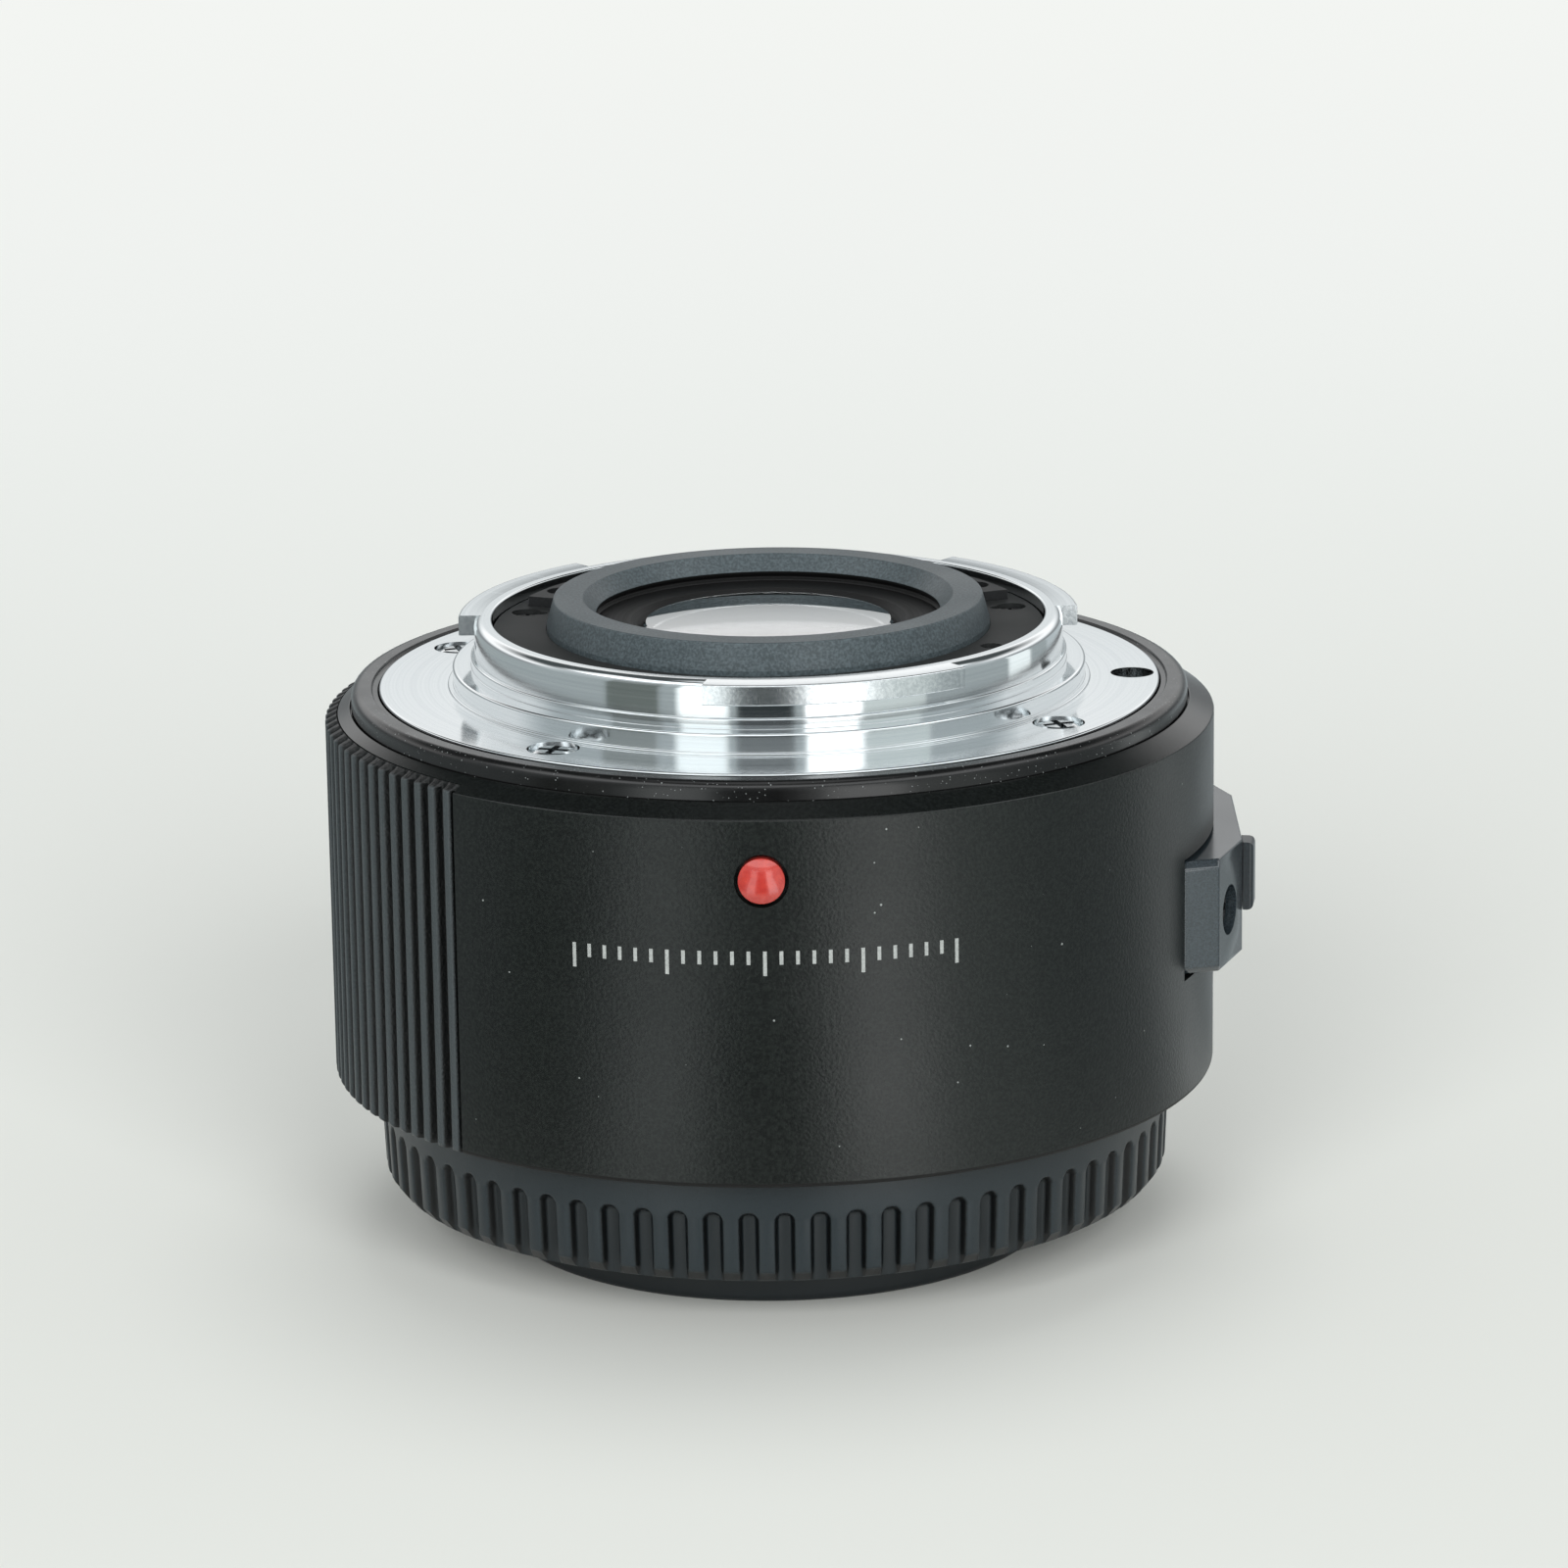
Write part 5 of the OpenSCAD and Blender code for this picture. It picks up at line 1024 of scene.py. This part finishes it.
def makeLight():
    # Even sky for the light on the object, and a plain pale backdrop above the horizon of the floor. Metal
    # and glass mirror a pale back wall, a dim ceiling and, in front, the cards with a band of windows high
    # above them. One softbox high up behind and two windows in front are lamps that nothing mirrors
    s = stageSettings
    world = bpy.data.worlds.new("studio")
    bpy.context.scene.world = world
    world.use_nodes = True
    tree = world.node_tree
    even = tree.nodes["Background"]
    even.inputs["Color"].default_value = linear(s["sky"])
    even.inputs["Strength"].default_value = s["skyLight"]
    direction = addNode(tree, "ShaderNodeTexCoord").outputs["Generated"]
    cards, split = cardTones(tree, direction)
    tones = []
    for name in ("skyRise", "windowRise"):
        stops = [(math.sin(math.radians(angle)), colour) for angle, colour in s[name]]
        tones.append(addNode(tree, "ShaderNodeValToRGB", {"Fac": split.outputs[2]}, stops=stops).outputs[0])
    ahead = addNode(tree, "ShaderNodeMapRange",
                    {"Value": split.outputs[1], "From Min": s["ahead"][0], "From Max": s["ahead"][1],
                     "To Min": 1.0, "To Max": 0.0}, interpolation_type="SMOOTHSTEP")
    back = addNode(tree, "ShaderNodeBackground", {"Color": tones[0], "Strength": s["skyShown"]})
    fore = addNode(tree, "ShaderNodeBackground", {"Color": tones[1], "Strength": s["cardStrength"]})
    wall = addNode(tree, "ShaderNodeMixShader",
                   {0: ahead.outputs[0], 1: back.outputs[0], 2: fore.outputs[0]})
    front = addNode(tree, "ShaderNodeBackground", {"Color": cards, "Strength": s["cardStrength"]})
    top = [math.sin(math.radians(angle)) for angle in s["cardTop"]]
    under = addNode(tree, "ShaderNodeMapRange",
                    {"Value": split.outputs[2], "From Min": top[0], "From Max": top[1],
                     "To Min": s["cardShare"], "To Max": 0.0}, interpolation_type="SMOOTHSTEP")
    share = addNode(tree, "ShaderNodeMath", {0: under.outputs[0], 1: ahead.outputs[0]},
                    operation="MULTIPLY")
    room = addNode(tree, "ShaderNodeMixShader",
                   {0: share.outputs[0], 1: wall.outputs[0], 2: front.outputs[0]})
    path = addNode(tree, "ShaderNodeLightPath")
    either = addNode(tree, "ShaderNodeMath",
                     {0: path.outputs["Is Glossy Ray"], 1: path.outputs["Is Transmission Ray"]},
                     operation="MAXIMUM")
    shown = addNode(tree, "ShaderNodeMixShader",
                    {0: either.outputs[0], 1: even.outputs[0], 2: room.outputs[0]})
    backdrop = addNode(tree, "ShaderNodeBackground", {"Color": linear(s["backdrop"])})
    seen = addNode(tree, "ShaderNodeMixShader",
                   {0: path.outputs["Is Camera Ray"], 1: shown.outputs[0], 2: backdrop.outputs[0]})
    tree.links.new(seen.outputs[0], tree.nodes["World Output"].inputs["Surface"])
    for name, power, size, place in s["lamps"]:
        lamp = bpy.data.lights.new(name, "AREA")
        lamp.shape = "DISK"
        lamp.size = size
        lamp.energy = power
        key = bpy.data.objects.new(name, lamp)
        key.location = place
        key.rotation_euler = (-key.location).to_track_quat("-Z", "Y").to_euler()
        key.visible_glossy = False
        key.visible_transmission = False
        bpy.context.scene.collection.objects.link(key)


cameraSettings = {"place": (0.0, -0.512, 0.1716), "pitch": 14.651, "yaw": 0.125, "roll": -0.799,
                  "focalPixels": 6443.1, "imagePixels": 1600, "sensor": 36.0,
                  "clip": (0.01, 100.0)}


def makeCamera():
    # The photo's camera: turned by yaw, tipped down by pitch and rolled; its lens in mm is the focal length
    # in pixels times the sensor's width over the image's width
    pitch, yaw, roll = (math.radians(cameraSettings[name]) for name in ("pitch", "yaw", "roll"))
    forward = Vector((math.sin(yaw) * math.cos(pitch), math.cos(yaw) * math.cos(pitch), -math.sin(pitch)))
    level = Vector((math.cos(yaw), -math.sin(yaw), 0))
    up = level.cross(forward)
    right = math.cos(roll) * level + math.sin(roll) * up
    top = -math.sin(roll) * level + math.cos(roll) * up
    data = bpy.data.cameras.new("camera")
    data.sensor_width = cameraSettings["sensor"]
    data.lens = cameraSettings["focalPixels"] * cameraSettings["sensor"] / cameraSettings["imagePixels"]
    data.clip_start, data.clip_end = cameraSettings["clip"]
    camera = bpy.data.objects.new("camera", data)
    turn = Matrix((right, top, -forward)).transposed().to_4x4()
    camera.matrix_world = Matrix.Translation(cameraSettings["place"]) @ turn
    bpy.context.scene.collection.objects.link(camera)
    bpy.context.scene.camera = camera


makeFloor()
makeLight()
makeCamera()
bpy.context.scene.view_settings.view_transform = "Standard"
print("stage set")

bpy.context.view_layer.update()
